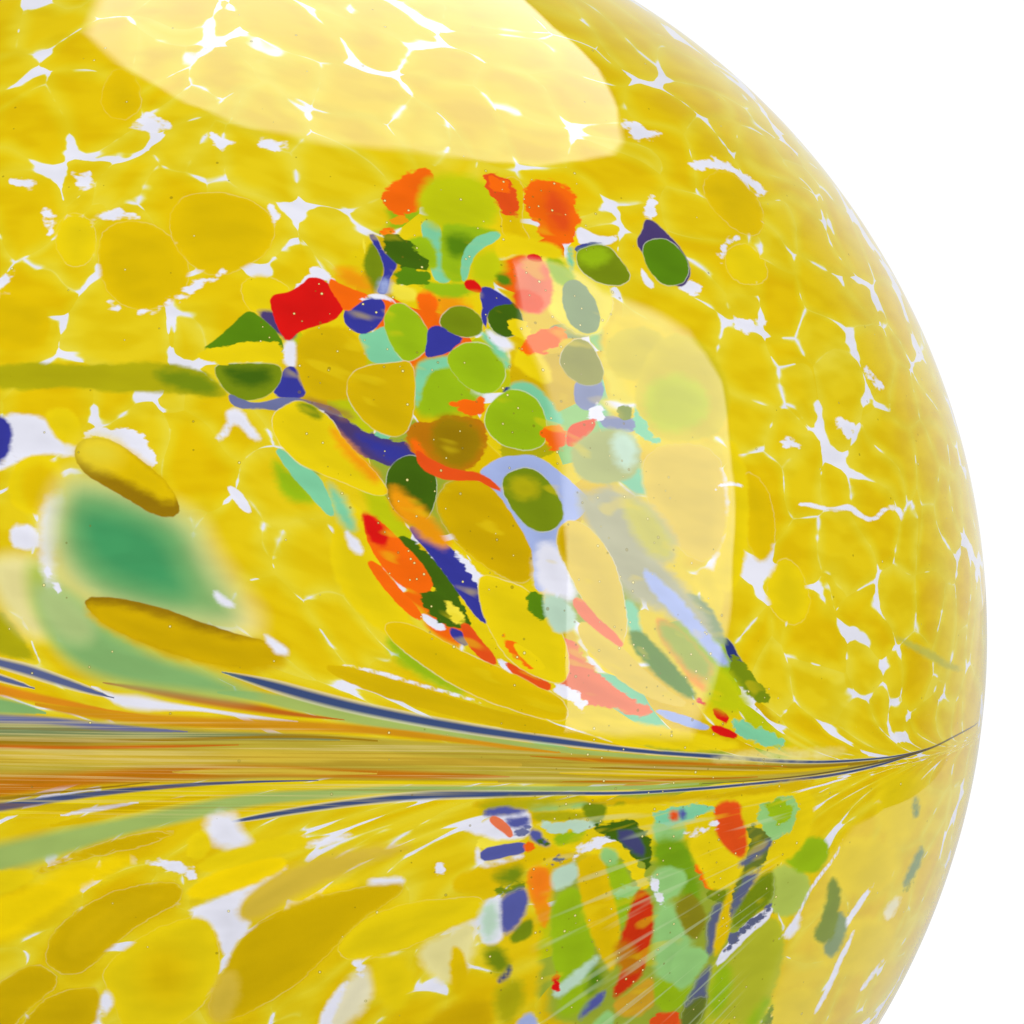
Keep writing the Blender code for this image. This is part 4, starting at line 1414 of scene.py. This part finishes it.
# %% The combing group
COMB_POINT, COMB_NEAREST, COMB_TURN, COMB_LENGTH = 74.0, 6.0, 430.0, 30.0
COMB_FINENESS = {"Scale": 2.3, "Detail": 1.0}
COMB_BELOW, COMB_WITHIN = (-3.5, -6.0), (10.0, -20.0)
COMB_COLOUR, COMB_SHOWS, COMB_SHARE = linear(206, 222, 176), (0.60, 0.74), 0.32


def combing_group():
    tree, wire = new_group(
        "combing",
        {"Below": "colour", "Longitude": "value", "Across": "value", "Streak": "value"},
        {"Colour": "colour"},
    )
    to_point = (wire["Longitude"] * -1.0 + COMB_POINT).apply("MAXIMUM", COMB_NEAREST)
    fan = wire["Across"] / to_point.apply("POWER", 2.0) * COMB_TURN
    place = joined(tree, fan, wire["Longitude"] / COMB_LENGTH, 0.0)
    noise = put(tree, "ShaderNodeTexNoise", place, noise_dimensions="2D", named=COMB_FINENESS)
    below = wire["Across"].from_to(*COMB_BELOW) * wire["Streak"].from_to(*COMB_WITHIN)
    colour = mixed(tree, noise.from_to(*COMB_SHOWS) * below * COMB_SHARE, wire["Below"], COMB_COLOUR)
    finish_group(tree, Colour=colour)
    return tree


combing = combing_group()

# %% [markdown]
# Wisps of yellow were dragged over the chips of the streak, and no chip is quite even in colour.

# %% The wisps group
WISP_COLOUR, WISP_SHOWS, WISP_SHARE = linear(233, 208, 24), (0.60, 0.70), 0.38
WISPS_WITHIN = (8.0, -8.0)
UNEVEN_TONES = (0.32, 0.68, 1.04, 0.96)


def wisps_group():
    tree, wire = new_group(
        "wisps",
        {"Below": "colour", "Uneven": "value", "Wisps": "value", "Streak": "value"},
        {"Colour": "colour"},
    )
    share = wire["Wisps"].from_to(*WISP_SHOWS) * wire["Streak"].from_to(*WISPS_WITHIN) * WISP_SHARE
    colour = mixed(tree, share, wire["Below"], WISP_COLOUR)
    tone = wire["Uneven"].from_to(*UNEVEN_TONES)
    finish_group(tree, Colour=vector(tree, "MULTIPLY", colour, joined(tree, tone, tone, tone)))
    return tree


wisps = wisps_group()

# %% [markdown]
# Tiny bubbles, called seeds, lie everywhere under the casing and most densely in the streak. Each
# is drawn as a painted glint in its middle inside a ring of painted shade, as light shows on a bubble.

# %% The seeds group
SEED_SPACING, SEED_RADIUS = 1.8, 0.21
SEED_SIZES, SEED_CORE = (0.6, 0.5), 0.6
SEED_SKIPPED, SEED_FOUND = (-10.0, 40.0, 0.10, 0.90), (0.0, 0.01)
SEED_RING, SEED_RING_SHARE = (1.5, 1.1), 0.5
SEED_GLINT, SEED_RING_SHADE = linear(250, 240, 160), linear(120, 104, 20)
SEED_BRIGHT = (0.1, 0.3, 0.0, 0.9)


def seeds_group():
    tree, wire = new_group(
        "seeds", {"Below": "colour", "Place": "vector", "Streak": "value"}, {"Colour": "colour"}
    )
    scale = 1 / (SEED_SPACING * MM)
    place = vector(tree, "MULTIPLY", wire["Place"], (scale, scale, scale))
    cell = put(tree, "ShaderNodeTexVoronoi", place, named={"Scale": 1.0})
    chance, size, pale = parts(tree, output_of(cell, "Color"))
    skipped = wire["Streak"].from_to(*SEED_SKIPPED)
    radius = (size * SEED_SIZES[0] + SEED_SIZES[1]) * (SEED_RADIUS / SEED_SPACING)
    here = (chance - skipped).from_to(*SEED_FOUND)
    # A painted glint in the bubble's middle, and painted shade in a dark ring round it.
    glint_spot = cell.from_to(radius, radius * SEED_CORE) * here
    ring = cell.from_to(radius * SEED_RING[0], radius * SEED_RING[1]) * here
    dark = mixed(tree, ring * SEED_RING_SHARE, wire["Below"], SEED_RING_SHADE)
    colour = mixed(tree, glint_spot * pale.from_to(*SEED_BRIGHT), dark, SEED_GLINT)
    finish_group(tree, Colour=colour)
    return tree


seeds = seeds_group()

# %% [markdown]
# ## The glass
# The colour is laid up in the order of the work: chips on the white core, the crease's threads, the
# large chips, wisps and seeds. Over it all lies the clear, glossy casing. Far from the streak most
# of these layers show nothing, so the glass is made in several kinds, with only the layers needed.

# %% Material
CASING_ROUGHNESS, CASING_IOR = 0.025, 1.5
BRUSH_SIZE, BRUSH_FINENESS = (2.2, 2.2, 1.1), {"Scale": 1.0, "Detail": 2.0}
RIM_SHOWS = (0.40, 0.58, 0.25, 1.0)


def glass_material(level_count, near_crease):
    """The glass with this many levels of large chips, and with threads and combing near the crease."""
    material = bpy.data.materials.new(f"cased_glass_{level_count}_{'crease' if near_crease else 'plain'}")
    material.use_nodes = True
    tree = material.node_tree
    shader = tree.nodes["Principled BSDF"]
    here = output_of(put(tree, "ShaderNodeTexCoord"), "Object")
    worked = use_group(tree, worked_glass, Place=here)
    streak = attribute(tree, "streak", "Fac")
    base = use_group(tree, chips, Place=worked["Before"], Streak=streak)
    brushed = tuple(1 / (size * MM) for size in BRUSH_SIZE)
    wander_place = vector(tree, "MULTIPLY", here, brushed)
    wander = put(tree, "ShaderNodeTexNoise", wander_place, named=BRUSH_FINENESS)
    wander = (wander - 0.5) * 2.0
    rim_shows = base["Uneven"].from_to(*RIM_SHOWS)
    colour = base["Colour"]
    along_crease = {"Longitude": worked["Longitude"], "Across": worked["Across"]}
    if near_crease:
        colour = draw_threads(tree, colour)
        colour = use_group(tree, streaks, Below=colour, Lane=worked["Lane"], **along_crease)["Colour"]
    for level in range(level_count):
        colour = use_group(
            tree,
            lay_chip,
            Below=colour,
            Tint=attribute(tree, f"tint_{level}"),
            Edge=attribute(tree, f"edge_{level}"),
            Rim=attribute(tree, f"rim_{level}", "Fac") * rim_shows,
            Wander=wander,
        )["Colour"]
    colour = use_group(
        tree, wisps, Below=colour, Uneven=base["Uneven"], Wisps=base["Wisps"], Streak=streak
    )["Colour"]
    if near_crease:
        colour = use_group(tree, combing, Below=colour, Streak=streak, **along_crease)["Colour"]
    colour = use_group(tree, seeds, Below=colour, Place=here, Streak=streak)["Colour"]
    tree.links.new(colour.socket, shader.inputs["Base Color"])
    shader.inputs["Roughness"].default_value = CASING_ROUGHNESS
    shader.inputs["IOR"].default_value = CASING_IOR
    return material


# %% [markdown]
# ## The ball's skin
# The ball is one fine grid of longitudes and latitudes. It is finest on the side with the streak,
# where the eye goes, and coarser behind. Blown glass is never quite true: the skin waves by a few
# hundredths of a millimetre, and it is pressed in a little along the crease.

# %% The skin's grid and its relief
COLUMNS = [(-22.0, 0.8), (-4.0, 0.30), (58.0, 0.8), (96.0, 4.6)]
ROWS = [(90.0, 4.0), (62.0, 0.8), (42.0, 0.31), (-31.0, 3.2)]
EDGE_ROWS = 5
REST_EDGE_RADIUS = 4 * MM
WAVES = [
    (41.0, 1.9, 31.0, 0.030), (-23.0, 37.0, 12.0, 0.026), (17.0, -29.0, 43.0, 0.022),
    (150.0, 60.0, -110.0, 0.007), (-90.0, 110.0, 150.0, 0.007),
]
WAVE_LENGTH = 2.4
CREASE_DEPTH, CREASE_HALF_WIDTH = 0.10, 4.0
CREASE_STARTS, CREASE_DEEPENS, CREASE_ENDS, CREASE_SHOALS = -110, 80, 95, 30
SMOOTH_BELOW, SMOOTHING = -78, 12


def spaced(stops, end):
    """Angles from stop to stop, each stretch with its own spacing."""
    angles = []
    for (start, step), (stop, _) in zip(stops, stops[1:] + [(end, None)]):
        count = max(1, round(abs(stop - start) / step))
        angles += list(np.linspace(start, stop, count, endpoint=False))
    return np.array(angles)


def relief(directions, longitudes, latitudes):
    """How deep the skin lies below a true ball, in metres."""
    depth = np.zeros(len(directions))
    for x, y, z, height in WAVES:
        depth += height * (0.5 + 0.5 * np.sin(directions @ np.array([x, y, z]) / WAVE_LENGTH + x))
    across = (latitudes - crease_at(longitudes)) * MM_PER_DEGREE
    started = np.clip((longitudes - CREASE_STARTS) / CREASE_DEEPENS, 0, 1)
    unended = np.clip((CREASE_ENDS - longitudes) / CREASE_SHOALS, 0, 1)
    depth += CREASE_DEPTH * started * unended * np.exp(-((across / CREASE_HALF_WIDTH) ** 2))
    return depth * MM * np.clip((latitudes - SMOOTH_BELOW) / SMOOTHING, 0, 1)


# %% [markdown]
# The grid ends in a point at the top. At the bottom it turns round the small edge onto the flat. A
# plain unwrapping, by column and row, is kept on it for whoever wants to paint the glass.

# %% The skin's mesh
FLAT_HEIGHT_IN_MAP = 0.004


def skin_mesh():
    """The ball's skin, and the places of its points."""
    reach = RADIUS - REST_EDGE_RADIUS
    edge_latitude = -math.degrees(math.acos(FLAT_RADIUS / reach))
    rows = np.r_[spaced(ROWS, edge_latitude)[1:], edge_latitude]
    columns = spaced(COLUMNS, COLUMNS[0][0] + 360)
    count = len(columns)
    longitude, latitude = (grid.ravel() for grid in np.meshgrid(columns, rows))
    along, up = np.radians(longitude), np.radians(latitude)
    directions = np.c_[np.sin(along) * np.cos(up), -np.cos(along) * np.cos(up), np.sin(up)]
    places = np.array(MIDDLE) + directions * (RADIUS - relief(directions, longitude, latitude))[:, None]
    round_x, round_y = np.sin(np.radians(columns)), -np.cos(np.radians(columns))
    for step in range(1, EDGE_ROWS + 1):
        angle = math.radians(edge_latitude + (-90 - edge_latitude) * step / EDGE_ROWS)
        ring = FLAT_RADIUS + REST_EDGE_RADIUS * math.cos(angle)
        height = REST_EDGE_RADIUS * (1 + math.sin(angle))
        places = np.r_[places, np.c_[round_x * ring, round_y * ring, np.full(count, height)]]
    places = np.r_[[[0.0, 0.0, MIDDLE.z + RADIUS]], places, [[0.0, 0.0, 0.0]]]
    row_count = (len(places) - 2) // count
    faces, corners = [], []
    for column in range(count):
        after = (column + 1) % count
        left, right = column / count, (column + 1) / count
        faces.append((0, 1 + column, 1 + after))
        corners += [(left, 1.0), (left, 1 - 1 / row_count), (right, 1 - 1 / row_count)]
        for row in range(row_count - 1):
            first, second = 1 + row * count, 1 + (row + 1) * count
            top, bottom = 1 - (row + 1) / row_count, 1 - (row + 2) / row_count
            faces.append((first + column, second + column, second + after, first + after))
            corners += [(left, top), (left, bottom), (right, bottom), (right, top)]
        last = 1 + (row_count - 1) * count
        faces.append((last + column, len(places) - 1, last + after))
        corners += [(left, FLAT_HEIGHT_IN_MAP), (left, 0.0), (right, FLAT_HEIGHT_IN_MAP)]
    mesh = bpy.data.meshes.new("glass_skin")
    mesh.from_pydata(places, [], faces)
    mesh.uv_layers.new(name="OFBake").uv.foreach_set("vector", np.array(corners).ravel())
    mesh.shade_smooth()
    return mesh, places


# %% [markdown]
# The skin's points now get what the glass reads: each level's chips, the distance from the streak,
# and how far each thread lies. Threads are stored three at a time, as a vector holds three numbers.

# %% Store the chips and threads on the skin
STREAK_OUTLINE = [
    (400, 180), (560, 180), (590, 240), (610, 300), (600, 330), (610, 400), (640, 450), (690, 560),
    (745, 660), (790, 740), (800, 790), (770, 870), (740, 980), (720, 1150), (700, 1500), (600, 1500),
    (560, 1150), (530, 1000), (545, 880), (560, 780), (500, 690), (390, 600), (370, 500), (290, 410),
    (280, 320), (330, 270), (380, 230),
]


def store(mesh, name, values):
    """Stores a number or a triple on every point of a mesh."""
    kind, field = ("FLOAT_VECTOR", "vector") if values.ndim == 2 else ("FLOAT", "value")
    mesh.attributes.new(name, kind, "POINT").data.foreach_set(field, values.ravel().astype(np.float32))


skin_data, skin_places = skin_mesh()
outward = skin_places - np.array(MIDDLE)
in_view = ((CAMERA_PLACE - skin_places) * outward).sum(axis=1) > 0
pixels = seen_at(skin_places)
levels = chip_levels(pixels, in_view)
print(len(levels), "levels of chips")
for index, (tints, edges, rims) in enumerate(levels):
    store(skin_data, f"tint_{index}", tints)
    store(skin_data, f"edge_{index}", edges)
    store(skin_data, f"rim_{index}", rims)
streak_distances = near_distances(pixels, in_view, rounded(STREAK_OUTLINE))
store(skin_data, "streak", streak_distances)
x, y, z = (outward / np.linalg.norm(outward, axis=1)[:, None]).T
longitude = np.degrees(np.arctan2(x, -y))
across = (np.degrees(np.arcsin(z)) - crease_at(longitude)) * MM_PER_DEGREE
thread_offs = np.stack([thread_field(thread, longitude, across) for thread in THREADS], axis=1)
stored_offs = np.pad(thread_offs, ((0, 0), (0, -len(THREADS) % 3)))
for index in range(0, len(THREADS), 3):
    store(skin_data, f"threads_{index}", stored_offs[:, index:index + 3])

# %% [markdown]
# ## Five kinds of glass
# Each face takes the simplest kind that has every level, thread and comb line that reaches it. The
# kinds look the same where they meet, and the ball renders in a fraction of the time.

# %% Give each face its glass
FACE_MARGIN, THREAD_MARGIN, STREAKS_REACH, COMB_MARGIN = 5.0, 1.8, 14.0, 12.0
kinds = [(0, False), (3, False), (6, False), (len(levels), False), (len(levels), True)]

skin = in_scene("glass_skin", skin_data)
for kind in kinds:
    skin.data.materials.append(glass_material(*kind))
needed = np.zeros(len(skin_places), int)
for index, (_, edges, _) in enumerate(levels):
    needed[edges[:, 0] < edges[:, 1] / 2 + edges[:, 2] + FACE_MARGIN] = index + 1
crease_near = np.abs(thread_offs).min(axis=1) < THREAD_MARGIN
crease_near |= np.abs(across) < STREAKS_REACH
crease_near |= (streak_distances < COMB_MARGIN) & (across < 0)
slots = []
for face in skin_data.polygons:
    corner = list(face.vertices)
    most, crossed = needed[corner].max(), crease_near[corner].any()
    fitting = (slot for slot, (count, near) in enumerate(kinds) if count >= most and near >= crossed)
    slots.append(next(fitting))
skin_data.polygons.foreach_set("material_index", slots)
print("faces of each kind:", dict(zip(kinds, np.bincount(slots, minlength=len(kinds)).tolist())))
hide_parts("glass_ball")
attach(skin, "root")
print("triangles:", sum(len(face.vertices) - 2 for face in skin.data.polygons))
